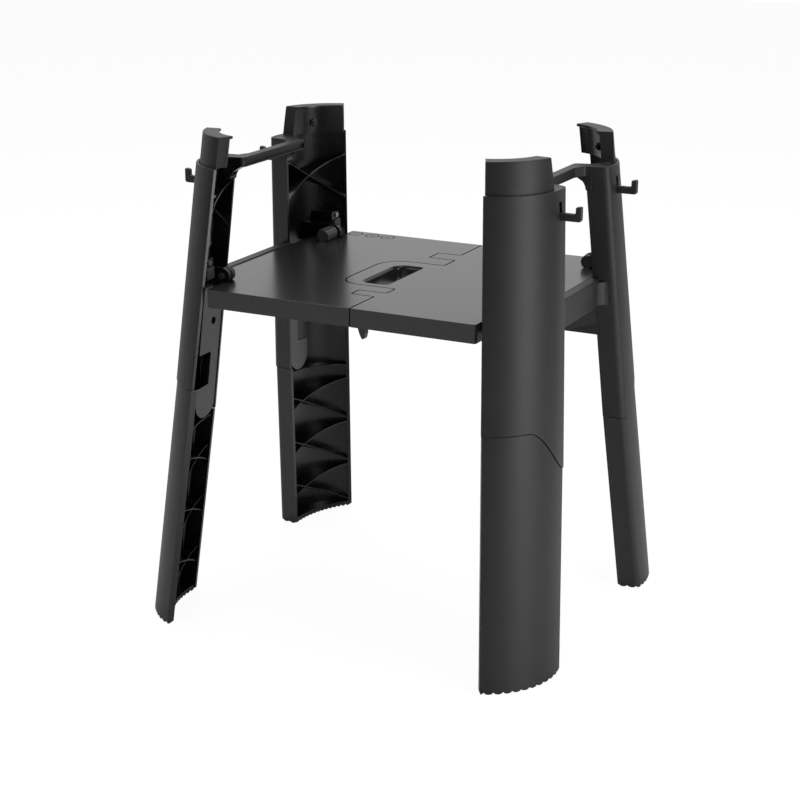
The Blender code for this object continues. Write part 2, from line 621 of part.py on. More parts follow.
def shelf_half(name, side):
    low, high = SHELF_TOP - SHELF_THICK, SHELF_TOP
    seam = [(p.x, p.y) for p in seam_path(side * SHELF_SEAM / 2)]
    plan = seam + shelf_side(side)[::-1]
    parts = [prism("slab", plan, "Z", low, high)]
    cuts = []
    span = (0.0370, 0.1930) if side > 0 else (0.0760, 0.1930)
    rows = [(-0.2040, -0.1030), (-0.1000, -0.0010), (0.0020, 0.1000), (0.1030, 0.2040)]
    for y0, y1 in rows:
        middle = (span[0] + span[1]) / 2
        cuts.append(box("pocket", (side * span[0], side * (middle - 0.0012)), (y0, y1), (low - 0.01, high - SHELF_SKIN)))
        cuts.append(box("pocket", (side * (middle + 0.0012), side * span[1]), (y0, y1),
                        (low - 0.01, high - SHELF_SKIN)))
    x, z = pivot_x(side), pivot_z()
    for turn in (-1, 1):
        start = barrel_start(side, turn)
        parts.append(round_bar("barrel", (x, turn * start, z), (x, turn * BARREL_Y[1], z), BARREL, 24))
        cuts.append(round_bar("bore", (x, turn * (start + 0.001), z), (x, turn * 0.170, z),
                              PIVOT_PIN + FIT))
        zone = (-0.1720, -0.0600) if turn < 0 else (0.0350, 0.1650)
        axis = (SHELF_CENTRE, low + HINGE_RISE)
        cuts.append(round_bar("bore", (axis[0], zone[0], axis[1]), (axis[0], zone[1], axis[1]), HINGE_PIN + FIT, 12))
    if side < 0:
        reach = LEVER_AXIS[0] - SHELF_CENTRE
        cuts.append(box("recess", (SHELF_CENTRE - reach - 0.0060, SHELF_CENTRE - reach + 0.0320),
                        (LEVER_Y - LEVER_WIDTH / 2 - 0.0015, LEVER_Y + LEVER_WIDTH / 2 + 0.0015),
                        (low - 0.01, low + LEVER_RECESS)))
    if side > 0:
        left, right, front, back = HANDLE_HOLE
        r = 0.014
        ring = [(left + r, front), (right - 0.003, front), (right, front + 0.004), (right, back - 0.004),
                (right - 0.003, back), (left + r, back), (left + 0.004, back - 0.005), (left, back - r),
                (left, front + r), (left + 0.004, front + 0.005)]
        cuts.append(prism("hole", ring, "Z", low - 0.01, high + 0.01))
        edge = [Vector(p) for p in ring]
        flare = HANDLE_BEVEL * 0.45
        bottom = [(p.x, p.y, high - HANDLE_BEVEL) for p in inset_closed(edge, 0.0006)]
        top = [(p.x, p.y, high + 0.0010) for p in inset_closed(edge, -flare)]
        cuts.append(loft("bevel", [bottom, top]))
        cuts.append(box("lever_slot", (LEVER_AXIS[0] - LEVER_LENGTH - 0.008, LEVER_AXIS[0] + 0.008),
                        (LEVER_Y - LEVER_WIDTH / 2 - 0.0006, LEVER_Y + LEVER_WIDTH / 2 + 0.0006),
                        (low - 0.01, high - SHELF_SKIN - 0.001)))
        cuts.append(round_bar("bore", (LEVER_AXIS[0], LEVER_Y - 0.0100, LEVER_AXIS[1]),
                              (LEVER_AXIS[0], LEVER_Y + 0.0100, LEVER_AXIS[1]), 0.0015 + FIT, 12))
    axis = (SHELF_CENTRE, 0, low + HINGE_RISE) if side > 0 else (pivot_x(side), 0, pivot_z())
    return build("shelf_" + name, parts, cuts, GLOSS, axis)


def inset_closed(points, depth):
    """A closed outline moved inwards, or outwards for a negative depth."""
    count = len(points)
    area = sum(points[i].x * points[(i + 1) % count].y - points[(i + 1) % count].x * points[i].y for i in range(count))
    turn = 1 if area > 0 else -1
    moved = []
    for i in range(count):
        before = (points[i] - points[i - 1]).normalized()
        after = (points[(i + 1) % count] - points[i]).normalized()
        normals = [Vector((-d.y, d.x)) * turn for d in (before, after)]
        mean = (normals[0] + normals[1]).normalized()
        moved.append(points[i] + mean * depth / max(mean.dot(normals[0]), 0.3))
    return moved


def hinge_pin(name, y0, y1):
    x, z = SHELF_CENTRE, SHELF_TOP - SHELF_THICK + HINGE_RISE
    return build(name, [round_bar("pin", (x, y0, z), (x, y1, z), HINGE_PIN, 12)], finish=STEEL)


def barrel_start(side, turn):
    return BARREL_Y[0] if side < 0 < turn else BARREL_SHORT


def pivot_pin(name, side, turn):
    x, z = pivot_x(side), pivot_z()
    start = barrel_start(side, turn) + PIVOT_PIN_Y[0] - BARREL_Y[0]
    pin = round_bar("pin", (x, turn * start, z), (x, turn * (PIVOT_PIN_Y[1] - 0.001), z), PIVOT_PIN)
    head = round_bar("head", (x, turn * (LUG_Y[1] + FIT), z), (x, turn * (PIVOT_PIN_Y[1]), z), PIVOT_PIN + 0.0015)
    return build("pivot_pin_" + name, [pin, head], finish=STEEL)


# ---- lock buttons --------------------------------------------------------------------------------
def lock_button(name, side, turn):
    y = (turn * BUTTON_Y[0], turn * BUTTON_Y[1])
    x0 = BOSS_X - BUTTON_PROUD
    body = box("body", (side * x0, side * (x0 + BUTTON_DEPTH)), y, BUTTON_Z)
    cuts = []
    for k in range(4):
        level = BUTTON_Z[0] + (k + 1) * (BUTTON_Z[1] - BUTTON_Z[0]) / 5
        cuts.append(box("groove", (side * (x0 - 0.001), side * (x0 + 0.0008)), (y[0] - turn * 0.001, y[1] + turn * 0.001),
                        (level - 0.0006, level + 0.0006)))
    middle = Vector((0, sum(y) / 2, sum(BUTTON_Z) / 2))
    cuts.append(round_bar("bore", (side * (x0 + 0.0035), middle.y, middle.z), (side * (x0 + 0.02), middle.y, middle.z),
                          SPRING_RADIUS + SPRING_WIRE + FIT, 14))
    return build("lock_button_" + name, [body], cuts, axis=(side * x0, middle.y, middle.z))


def lock_spring(name, side, turn):
    """Coil spring between the button and the floor of its pocket, drawn at its pressed length."""
    middle = Vector((0, turn * sum(BUTTON_Y) / 2, sum(BUTTON_Z) / 2))
    end = BOSS_X + POCKET - FIT - SPRING_WIRE
    coils, steps = 3, 6
    points = []
    for k in range(coils * steps + 1):
        turn_angle = 2 * math.pi * k / steps
        points.append(Vector((side * (end - (SPRING_LENGTH - 2 * SPRING_WIRE) * k / (coils * steps)),
                              middle.y + SPRING_RADIUS * math.cos(turn_angle),
                              middle.z + SPRING_RADIUS * math.sin(turn_angle))))
    rings = []
    for k, p in enumerate(points):
        outwards = Vector((0, p.y - middle.y, p.z - middle.z)).normalized()
        axis = Vector((1, 0, 0))
        rings.append([p + SPRING_WIRE * (math.cos(a) * outwards + math.sin(a) * axis)
                      for a in (math.pi / 4, 3 * math.pi / 4, 5 * math.pi / 4, 7 * math.pi / 4)])
    return build("lock_spring_" + name, [loft("spring", rings)], finish=STEEL)


def lock_screw(name, side, turn):
    y = turn * sum(BOSS_Y) / 2
    z = (BUTTON_Z[1] + BOSS_Z[1]) / 2 + 0.0005
    shank = round_bar("shank", (side * (BOSS_X - FIT - 0.001), y, z), (side * (BOSS_X + 0.0080), y, z), 0.0012, 10)
    head = round_bar("head", (side * (BOSS_X - FIT - 0.0020), y, z), (side * (BOSS_X - FIT), y, z), 0.0034, 16)
    x = BOSS_X - FIT - 0.0020
    slot = box("slot", (side * (x - 0.001), side * (x + 0.0009)), (y - 0.0024, y + 0.0024), (z - 0.0005, z + 0.0005))
    return build("lock_screw_" + name, [shank, head], [slot], STEEL)


# ---- caps and hooks ------------------------------------------------------------------------------
def cap_path(first, last, steps=6):
    arc = arc_points(101)
    shares = [first + (last - first) * k / steps for k in range(steps + 1)]
    return [(arc[round(s * 100)], s) for s in shares]


def cap_screw_parts(leg):
    spot, inward = wall_frame(leg, 0.60, RIM + 0.0190)
    return spot, inward


def channel(name, leg, path, profile):
    """A bar along the section path whose cross-section is a closed list of (depth, height)."""
    points = [p for p, _ in path]
    tracks = [inset(points, depth) for depth, _ in profile]
    rings = []
    for k, (_, share) in enumerate(path):
        rings.append([place(track[k], height, share, leg) for track, (_, height) in zip(tracks, profile)])
    return loft(name, rings)


def top_cap(name, leg):
    top = RIM + CAP_HEIGHT
    base = RIM + FIT
    under = top - CAP_WALL
    outer, inner = CAP_INSET + CAP_WALL, CAP_INSET + CAP_WIDTH
    near = inner - CAP_WALL - 0.0045
    profile = [(CAP_INSET, base), (outer, base), (outer, under), (near, under), (near, base),
               (near + CAP_WALL, base), (near + CAP_WALL, under), (inner, under), (inner, top), (CAP_INSET, top)]
    body = channel("body", leg, cap_path(CAP_SHARE, 0.99), profile)
    ends = []
    for first, last in ((CAP_SHARE + 0.003, CAP_SHARE + 0.05), (0.94, 0.987)):
        block = [(CAP_INSET + 0.0010, base + 0.0006), (near + 0.0020, base + 0.0006),
                 (near + 0.0020, top - 0.0010), (CAP_INSET + 0.0010, top - 0.0010)]
        ends.append(channel("end", leg, cap_path(first, last, 2), block))
    inside = UPPER_WALL + 2 * FIT
    skirt = shell("skirt", leg, inside, CAP_INSET + CAP_WALL - inside + 0.0006, RIM - CAP_SKIRT, RIM + 0.010,
                  cap_path(CAP_SHARE + 0.03, 0.89))
    spot, inward = cap_screw_parts(leg)
    face = near + CAP_WALL
    boss = round_bar("boss", spot + inward * (face - 0.0020), spot + inward * (face + 0.0035), 0.0055, 16)
    hole = round_bar("hole", spot + inward * (near - 0.0030), spot + inward * (face + 0.0080), 0.0015 + FIT, 12)
    return build("top_cap_" + name, [body, *ends, skirt, boss], [hole])


def cap_screw(name, leg):
    spot, inward = cap_screw_parts(leg)
    face = CAP_INSET + CAP_WIDTH - 0.0045 + 0.0035 + FIT
    shank = round_bar("shank", spot + inward * (face - 0.0110), spot + inward * (face + 0.0010), 0.0015, 10)
    head = round_bar("head", spot + inward * face, spot + inward * (face + 0.0024), 0.0036, 16)
    cross = box("slot", (-0.0008, 0.0008), (-0.0026, 0.0026), (-0.0006, 0.0006))
    turn_to(cross, spot + inward * (face + 0.0024), inward)
    return build("cap_screw_" + name, [shank, head], [cross], STEEL)


def tool_hook(name, side, turn):
    spot = hook_spot(side, turn)
    inside = spot.x - side * (UPPER_WALL + 0.0020)
    tip = spot.x + side * HOOK_REACH
    low, high = HOOK_Z - HOOK_ARM / 2, HOOK_Z + HOOK_ARM / 2
    outline_xz = [(inside, low), (tip - side * 0.0030, low), (tip, low + 0.0030), (tip, low + HOOK_TIP[1]),
                  (tip - side * 0.0015, low + HOOK_TIP[1] + 0.0010), (tip - side * (HOOK_TIP[0] - 0.0015), low + HOOK_TIP[1]),
                  (tip - side * HOOK_TIP[0], low + HOOK_TIP[1] - 0.0020), (tip - side * HOOK_TIP[0], high),
                  (inside, high)]
    arm = prism("arm", outline_xz, "Y", spot.y - HOOK_WIDTH / 2, spot.y + HOOK_WIDTH / 2)
    clip = box("clip", (inside - side * 0.0030, inside), (spot.y - 0.0060, spot.y + 0.0060), (low - 0.0025, high + 0.0020))
    return build("tool_hook_" + name, [arm, clip])


# ---- release lever under the shelf ---------------------------------------------------------------
def release_lever():
    x, z = LEVER_AXIS
    y0, y1 = LEVER_Y - LEVER_WIDTH / 2, LEVER_Y + LEVER_WIDTH / 2
    shape = [(x + 0.0050, z - 0.0010), (x + 0.0035, z + 0.0040), (x - 0.0040, z + 0.0050), (x - LEVER_LENGTH, z + 0.0030),
             (x - LEVER_LENGTH - 0.0040, z - 0.0060), (x - LEVER_LENGTH, z - 0.0165), (x - LEVER_LENGTH + 0.0035, z - LEVER_DROP),
             (x - LEVER_LENGTH + 0.0080, z - LEVER_DROP + 0.0010), (x - LEVER_LENGTH + 0.0110, z - 0.0150),
             (x - LEVER_LENGTH + 0.0120, z - 0.0040), (x + 0.0030, z - 0.0040)]
    body = prism("body", shape, "Y", y0, y1)
    bore = round_bar("bore", (x, y0 - 0.002, z), (x, y1 + 0.002, z), 0.0015 + FIT, 14)
    return build("release_lever", [body], [bore], axis=(x, LEVER_Y, z))


def lever_pin():
    x, z = LEVER_AXIS
    return build("lever_pin", [round_bar("pin", (x, LEVER_Y - 0.0095, z), (x, LEVER_Y + 0.0095, z), 0.0015, 12)],
                 finish=STEEL)


# ---- the stand -----------------------------------------------------------------------------------
for side_name, side_sign in SIDES.items():
    side_frame(side_name, side_sign)
    shelf_half(side_name, side_sign)
hinge_pin("hinge_pin_front", -0.1710, -0.0610)
hinge_pin("hinge_pin_back", 0.0360, 0.1640)
for leg_name, leg_signs in LEGS.items():
    lower_leg(leg_name, leg_signs)
    leg_screw(leg_name, leg_signs)
    top_cap(leg_name, leg_signs)
    cap_screw(leg_name, leg_signs)
    tool_hook(leg_name, *leg_signs)
    pivot_pin(leg_name, *leg_signs)
    lock_button(leg_name, *leg_signs)
    lock_spring(leg_name, *leg_signs)
    lock_screw(leg_name, *leg_signs)
release_lever()
lever_pin()
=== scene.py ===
"""Detailed surface of a folding four-legged stand: ribbed moulded legs, side frames and a hinged shelf.

Units are metres, +Z is up and the floor is z = 0. Each leg is described once, as the back right one.
"""

import math

import bmesh
import bpy
from bpy.props import FloatProperty, FloatVectorProperty, IntProperty, PointerProperty
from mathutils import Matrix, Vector
from mathutils.geometry import intersect_point_line


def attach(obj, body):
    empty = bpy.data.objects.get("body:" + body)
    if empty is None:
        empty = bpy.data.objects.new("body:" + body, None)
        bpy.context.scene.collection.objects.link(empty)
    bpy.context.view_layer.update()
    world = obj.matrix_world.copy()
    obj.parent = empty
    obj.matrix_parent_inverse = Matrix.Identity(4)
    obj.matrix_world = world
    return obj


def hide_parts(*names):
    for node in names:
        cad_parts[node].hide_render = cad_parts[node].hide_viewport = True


bl_info = {
    "name": "Folding stand",
    "version": (1, 0, 0),
    "blender": (4, 5, 0),
    "location": "View3D > Sidebar > Stand",
    "description": "Builds the mouldings, controls and finishes of a folding stand",
    "category": "Add Mesh",
}

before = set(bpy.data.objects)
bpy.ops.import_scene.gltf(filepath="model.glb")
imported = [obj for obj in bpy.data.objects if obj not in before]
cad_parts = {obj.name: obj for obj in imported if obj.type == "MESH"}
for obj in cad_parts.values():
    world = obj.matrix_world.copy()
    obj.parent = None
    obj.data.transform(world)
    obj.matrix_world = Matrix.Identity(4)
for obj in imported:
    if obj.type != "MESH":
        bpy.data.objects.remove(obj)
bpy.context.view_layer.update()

# ---- sizes shared by many pieces ------------------------------------------------------------------
SHELF_TOP = 0.4829
SHELF_THICK = 0.0257
RIM = 0.6444
CAP_TOP = 0.6868
SEAM_AT_FLANGE = 0.276
SEAM_AT_EDGE = 0.340
FLANGE_END = Vector((0.2789, 0.1465))
CORNER = Vector((0.3099, 0.1511))
FREE_EDGE = Vector((0.2448, 0.2764))
LIP = Vector((-0.0058, -0.0084))
BULGE = 0.0262
CORNER_ROUND = 0.008
SPLAY = Vector((-0.0678, -0.1395))
FLANGE_TAPER = Vector((0.0014, 0.0120))
UPPER_WALL = 0.004
LOWER_INSET = 0.0012
HALF_DEPTH = 0.2100         # of the shelf
HALF_WIDTH = 0.2030         # of the shelf at its front and back edges
PIVOT_Z = SHELF_TOP + 0.0085
PIVOT_X = {-1: -0.2070, 1: 0.2150}
BARREL = 0.0098             # radius of the barrels on the pivots
BARREL_END = 0.1520
LUG = 0.0110                # radius of the ears on the pivots
LUG_Y = (0.1560, 0.1630)
BOSS_X = 0.2165
BOSS_Y = (0.1690, 0.1930)
BOSS_Z = (0.4875, 0.5180)
BUTTON_X = 0.2135
BUTTON_Y = (0.1715, 0.1905)
BUTTON_Z = (0.4895, 0.5060)
FIT = 0.0004                # clearance round the buttons and the hooks
HOOK_Y = 0.1020
HOOK_Z = 0.6100             # middle of the hook's arm
HOOK_ARM = 0.0100
HOOK_WIDTH = 0.0070
HOOK_SLOT = 0.0140          # the slot is this much higher than the arm
LEG_SCREW = (0.50, 0.352)   # share of the arc, and height
CAP_SCREW = (0.60, RIM + 0.0190)
LEVER_AXIS = (0.0500, 0.4610)
LEVER_Y = -0.1900
RINGS_X = (-0.1868, -0.1583, -0.1319)
RINGS_Y = 0.1914
LEGS = {"front_left": (-1, -1), "back_left": (-1, 1), "front_right": (1, -1), "back_right": (1, 1)}
SIDES = {"left": -1, "right": 1}
HOLE = (-0.0345, 0.0040, -0.0740, 0.0370)   # hand hole: left, right, front and back


# ---- settings -------------------------------------------------------------------------------------
class StandFinish(bpy.types.PropertyGroup):
    outer: FloatVectorProperty(name="Outer moulding", description="Colour of the matte outer faces",
                               default=(0.0096, 0.0096, 0.0099), size=3, subtype="COLOR", min=0, max=1)
    inner: FloatVectorProperty(name="Inner moulding", description="Colour of the smooth inner faces",
                               default=(0.0040, 0.0040, 0.0042), size=3, subtype="COLOR", min=0, max=1)
    shelf: FloatVectorProperty(name="Shelf", description="Colour of the glossy shelf",
                               default=(0.0028, 0.0028, 0.0031), size=3, subtype="COLOR", min=0, max=1)
    metal: FloatVectorProperty(name="Screws", description="Colour of the plated screws",
                               default=(0.60, 0.60, 0.62), size=3, subtype="COLOR", min=0, max=1)
    matte: FloatProperty(name="Matte roughness", description="Roughness of the outer faces",
                         default=0.50, min=0.05, max=1, subtype="FACTOR")
    gloss: FloatProperty(name="Shelf roughness", description="Roughness of the shelf's top",
                         default=0.09, min=0.02, max=1, subtype="FACTOR")


class StandSizes(bpy.types.PropertyGroup):
    rib: FloatProperty(name="Rib thickness", description="Thickness of the ribs inside the legs",
                       default=0.0024, min=0.001, max=0.006, unit="LENGTH")
    rib_pitch: FloatProperty(name="Rib pitch", description="Height from one pair of ribs to the next",
                             default=0.0775, min=0.04, max=0.12, unit="LENGTH")
    teeth: IntProperty(name="Sole teeth", description="Scallops along each foot", default=14, min=4, max=30)
    tooth_depth: FloatProperty(name="Tooth depth", description="Depth of the scallops under each foot",
                               default=0.0027, min=0.0005, max=0.005, unit="LENGTH")
    edge: FloatProperty(name="Edge radius", description="Rounding of the shelf's upper edges",
                        default=0.0006, min=0.0002, max=0.004, unit="LENGTH")
    seam: FloatProperty(name="Shelf joint", description="Gap between the shelf's halves",
                        default=0.0016, min=0.0005, max=0.003, unit="LENGTH")
    screw_head: FloatProperty(name="Screw head", description="Radius of the small screw heads",
                              default=0.0034, min=0.001, max=0.006, unit="LENGTH")
    ridges: IntProperty(name="Button ridges", description="Grip ridges across each lock button", default=6,
                        min=2, max=12)


# ---- mesh tools -----------------------------------------------------------------------------------
def new_object(name, mesh):
    """An object that is in the scene."""
    made = bpy.data.objects.new(name, mesh)
    bpy.context.scene.collection.objects.link(made)
    return made


def from_bmesh(name, bm):
    """An object from a bmesh, in triangles."""
    bmesh.ops.triangulate(bm, faces=bm.faces)
    mesh = bpy.data.meshes.new(name)
    bm.to_mesh(mesh)
    bm.free()
    return new_object(name, mesh)


def solid(name, points, faces):
    """A closed object from points and faces, turned outwards and in triangles."""
    bm = bmesh.new()
    corners = [bm.verts.new(p) for p in points]
    for face in faces:
        bm.faces.new([corners[i] for i in face])
    bmesh.ops.recalc_face_normals(bm, faces=bm.faces)
    return from_bmesh(name, bm)


def loft(name, rings):
    """Joins equal closed rings of points into one closed solid."""
    count = len(rings[0])
    points = [p for ring in rings for p in ring]
    faces = [list(range(count))[::-1], list(range(count * (len(rings) - 1), count * len(rings)))]
    for r in range(len(rings) - 1):
        for i in range(count):
            j = (i + 1) % count
            faces.append([r * count + i, r * count + j, (r + 1) * count + j, (r + 1) * count + i])
    return solid(name, points, faces)


def prism(name, outline, axis, low, high, bevel=0.0, segments=2, top_only=False):
    """Pushes a flat outline along X, Y or Z, with rounded edges where a bevel is given."""
    low, high = min(low, high), max(low, high)

    def at(p, level):
        return {"X": (level, p[0], p[1]), "Y": (p[0], level, p[1]), "Z": (p[0], p[1], level)}[axis]
    bm = bmesh.new()
    rings = [[bm.verts.new(at(p, level)) for p in outline] for level in (low, high)]
    count = len(outline)
    bm.faces.new(rings[0][::-1])
    bm.faces.new(rings[1])
    for i in range(count):
        j = (i + 1) % count
        bm.faces.new([rings[0][i], rings[0][j], rings[1][j], rings[1][i]])
    bmesh.ops.recalc_face_normals(bm, faces=bm.faces)
    if bevel:
        index = "XYZ".index(axis)
        edges = []
        for e in bm.edges:
            flat = abs(e.verts[0].co[index] - e.verts[1].co[index]) < 1e-7
            if flat and (not top_only or e.verts[0].co[index] > (low + high) / 2):
                edges.append(e)
        bmesh.ops.bevel(bm, geom=edges, offset=bevel, segments=segments, affect="EDGES", profile=0.5,
                        clamp_overlap=True)
    return from_bmesh(name, bm)


def box(name, x, y, z, bevel=0.0):
    """A box between two limits on each axis, with all its edges rounded by the bevel."""
    (x0, x1), (y0, y1), (z0, z1) = sorted(x), sorted(y), sorted(z)
    made = prism(name, [(x0, y0), (x1, y0), (x1, y1), (x0, y1)], "Z", z0, z1)
    if bevel:
        bm = bmesh.new()
        bm.from_mesh(made.data)
        bmesh.ops.dissolve_limit(bm, angle_limit=0.01, verts=bm.verts, edges=bm.edges)
        bmesh.ops.bevel(bm, geom=bm.edges[:], offset=bevel, segments=2, affect="EDGES", profile=0.5)
        bmesh.ops.triangulate(bm, faces=bm.faces)
        bm.to_mesh(made.data)
        bm.free()
    return made


def round_bar(name, start, end, radius, sides=36, rounding=0.0):
    """A cylinder from start to end with rounded rims."""
    start, end = Vector(start), Vector(end)
    along = (end - start).normalized()
    across = along.orthogonal().normalized()
    beside = along.cross(across)
    length = (end - start).length
    stops = [(0.0, radius), (length, radius)]
    if rounding:
        stops = [(0.0, radius - rounding), (rounding * 0.3, radius - rounding * 0.3), (rounding, radius),
                 (length - rounding, radius), (length - rounding * 0.3, radius - rounding * 0.3),
                 (length, radius - rounding)]
    rings = []
    for distance, r in stops:
        ring = []
        for k in range(sides):
            t = 2 * math.pi * k / sides
            ring.append(start + along * distance + r * (math.cos(t) * across + math.sin(t) * beside))
        rings.append(ring)
    return loft(name, rings)


def bake(target):
    """Applies an object's modifiers to its mesh."""
    graph = bpy.context.evaluated_depsgraph_get()
    mesh = bpy.data.meshes.new_from_object(target.evaluated_get(graph))
    target.modifiers.clear()
    before, target.data = target.data, mesh
    bpy.data.meshes.remove(before)


def combine(target, tools, operation):
    """Applies a Boolean with each tool in turn and removes the tools."""
    for tool in tools:
        cut = target.modifiers.new("cut", "BOOLEAN")
        cut.operation = operation
        cut.solver = "MANIFOLD"
        cut.object = tool
        bake(target)
        bpy.data.objects.remove(tool)


def finish(name, parts, cuts, materials, body, nodes, pick=None, angle=32):
    """Unites parts, cuts, shades and paints a piece, and hands it to the body it rides on."""
    whole = parts[0]
    combine(whole, parts[1:], "UNION")
    combine(whole, cuts, "DIFFERENCE")
    bm = bmesh.new()
    bm.from_mesh(whole.data)
    bmesh.ops.remove_doubles(bm, verts=bm.verts, dist=0.000004)
    bmesh.ops.dissolve_degenerate(bm, edges=bm.edges, dist=0.000004)
    bmesh.ops.triangulate(bm, faces=[f for f in bm.faces if len(f.verts) > 4])
    bm.to_mesh(whole.data)
    bm.free()
    whole.name = name
    whole.data.materials.clear()
    for m in materials:
        whole.data.materials.append(m)
    for polygon in whole.data.polygons:
        polygon.material_index = pick(polygon) if pick else 0
    whole.data.shade_smooth()
    whole.data.set_sharp_from_angle(angle=math.radians(angle))
    even = whole.modifiers.new("even", "WEIGHTED_NORMAL")
    even.weight = 100
    even.keep_sharp = True
    bake(whole)
    whole.data.name = name
    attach(whole, body)
    if nodes:
        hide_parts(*nodes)
    return whole


def bend(first, corner, last, t):
    """The point at t, from 0 to 1, on a curve from first to last that is drawn towards the corner."""
    return first * (1 - t) ** 2 + corner * 2 * t * (1 - t) + last * t * t


def rounded(points, radii, steps=5):
    """A closed outline with each corner rounded by its radius."""
    result = []
    count = len(points)
    for i, p in enumerate(points):
        p = Vector(p)
        a, b = Vector(points[i - 1]), Vector(points[(i + 1) % count])
        radius = radii[i] if hasattr(radii, "__len__") else radii
        into, out = p - a, b - p
        turn = into.angle(out) if into.length and out.length else 0
        reach = min(radius * math.tan(turn / 2), into.length * 0.48, out.length * 0.48)
        if radius <= 0 or reach < 1e-6:
            result.append(p)
            continue
        first, last = p - into.normalized() * reach, p + out.normalized() * reach
        result += [bend(first, p, last, k / steps) for k in range(steps + 1)]
    return result


def offset_closed(points, depth):
    """A closed outline moved inwards, or outwards for a negative depth."""
    count = len(points)
    area = sum(points[i].x * points[(i + 1) % count].y - points[(i + 1) % count].x * points[i].y
               for i in range(count))
    turn = 1 if area > 0 else -1
    moved = []
    for i in range(count):
        before = (points[i] - points[i - 1]).normalized()
        after = (points[(i + 1) % count] - points[i]).normalized()
        normals = [Vector((-d.y, d.x)) * turn for d in (before, after)]
        mean = (normals[0] + normals[1]).normalized()
        moved.append(points[i] + mean * depth / max(mean.dot(normals[0]), 0.3))
    return moved


# ---- leg section ----------------------------------------------------------------------------------
def arc_circle():
    """Centre, radius and outward direction of the section's outer arc."""
    chord = FREE_EDGE - CORNER
    radius = (chord.length ** 2 / 4 + BULGE ** 2) / (2 * BULGE)
    outwards = Vector((chord.y, -chord.x)).normalized()
    return (CORNER + FREE_EDGE) / 2 - outwards * (radius - BULGE), radius, outwards


def arc_points(count):
    """Points on the outer arc from the corner to the free edge."""
    middle, radius, outwards = arc_circle()
    half = math.asin((FREE_EDGE - CORNER).length / 2 / radius)
    base = math.atan2(outwards.y, outwards.x)
    angles = [base - half + 2 * half * k / (count - 1) for k in range(count)]
    return [middle + radius * Vector((math.cos(a), math.sin(a))) for a in angles]


def outline(steps=41, corner_steps=7, lip_steps=3):
    """Outer path of the section as (point, share).

    The share is below 0 on the flange, from 0 to 1 on the arc and above 1 on the lip.
    """
    after = next(p for p in arc_points(300) if (p - CORNER).length > CORNER_ROUND)
    before = CORNER + (FLANGE_END - CORNER).normalized() * CORNER_ROUND
    path = [(FLANGE_END, -1.0)]
    for k in range(corner_steps + 1):
        t = k / corner_steps
        path.append((bend(before, CORNER, after, t), -0.25 + 0.25 * t))
    for k, point in enumerate(arc_points(steps)):
        if (point - CORNER).length > CORNER_ROUND * 1.15:
            path.append((point, k / (steps - 1)))
    last, before_last = path[-1][0], path[-2][0]
    swing = last + (last - before_last).normalized() * 0.0006
    end = FREE_EDGE + LIP
    turn_in, turn_out = before_last.lerp(last, 0.7), last.lerp(end, 0.25)
    path.pop()
    for k in range(lip_steps + 1):
        t = k / lip_steps
        path.append((bend(turn_in, swing, turn_out, t), 1.0 + 0.05 * t))
    path.append((end, 1.2))
    return path


def short_lip(part):
    """The section's outer path with only part of the lip on its free edge."""
    path = outline()
    path[-1] = (path[-2][0].lerp(path[-1][0], part), 1.2)
    return path


def inset(points, depth):
    """The open path moved inwards, to its left, by depth."""
    moved = []
    for i, p in enumerate(points):
        dirs = []
        if i > 0:
            dirs.append((p - points[i - 1]).normalized())
        if i < len(points) - 1:
            dirs.append((points[i + 1] - p).normalized())
        normals = [Vector((-d.y, d.x)) for d in dirs]
        mean = sum(normals, Vector((0, 0))).normalized()
        moved.append(p + mean * depth / max(mean.dot(normals[0]), 0.3))
    return moved


def place(point, height, share, leg):
    """Puts a section point of the back right leg at a height and mirrors it to the leg."""
    flange = 1.0 if share < 0 else max(0.0, 1.0 - share)
    rise = max(0.0, height - SEAM_AT_FLANGE) / (RIM - SEAM_AT_FLANGE)
    spot = point + SPLAY * height + FLANGE_TAPER * flange * rise
    return Vector((spot.x * leg[0], spot.y * leg[1], height))


def seam_height(share):
    """Height of the joint between the upper and lower leg, with an S between its two level ends."""
    t = min(1.0, max(0.0, (share - 0.03) / 0.55))
    return SEAM_AT_FLANGE + (SEAM_AT_EDGE - SEAM_AT_FLANGE) * t * t * (3 - 2 * t)


def channel(name, leg, path, profile):
    """A bar along the section path whose cross-section is a closed list of (depth, height)."""
    points = [p for p, _ in path]
    tracks = [inset(points, depth) for depth, _ in profile]
    rings = []
    for k, (_, share) in enumerate(path):
        ring = []
        for track, (_, height) in zip(tracks, profile):
            ring.append(place(track[k], height(share) if callable(height) else height, share, leg))
        rings.append(ring)
    return loft(name, rings)


def wall(name, leg, depth, thick, bottom, top, path, soft=0.0008):
    """A wall between two depths whose outer rims are rounded."""
    def low(extra):
        return lambda share: (bottom(share) if callable(bottom) else bottom) + extra

    def high(extra):
        return lambda share: (top(share) if callable(top) else top) - extra
    far = depth + thick
    half, third = soft * 0.5, soft * 0.3
    profile = [(depth + soft, low(0)), (far - half, low(0)), (far, low(half)), (far, high(half)),
               (far - half, high(0)), (depth + soft, high(0)), (depth + third, high(third)),
               (depth, high(soft)), (depth, low(soft)), (depth + third, low(third))]
    return channel(name, leg, path, profile)


def wall_frame(leg, share, height, depth=0.0):
    """A point behind the arc's face at a depth, and the direction straight into the hollow."""
    arc = arc_points(101)
    k = round(share * 100)
    along = (arc[min(k + 1, 100)] - arc[max(k - 1, 0)]).normalized()
    inward = Vector((-along.y, along.x))
    spot = place(arc[k] + inward * depth, height, share, leg)
    through = Vector((along.x, along.y, 0)).cross(Vector((SPLAY.x, SPLAY.y, 1))).normalized()
    if through.xy.dot(inward) < 0:
        through.negate()
    return spot, Vector((through.x * leg[0], through.y * leg[1], through.z))


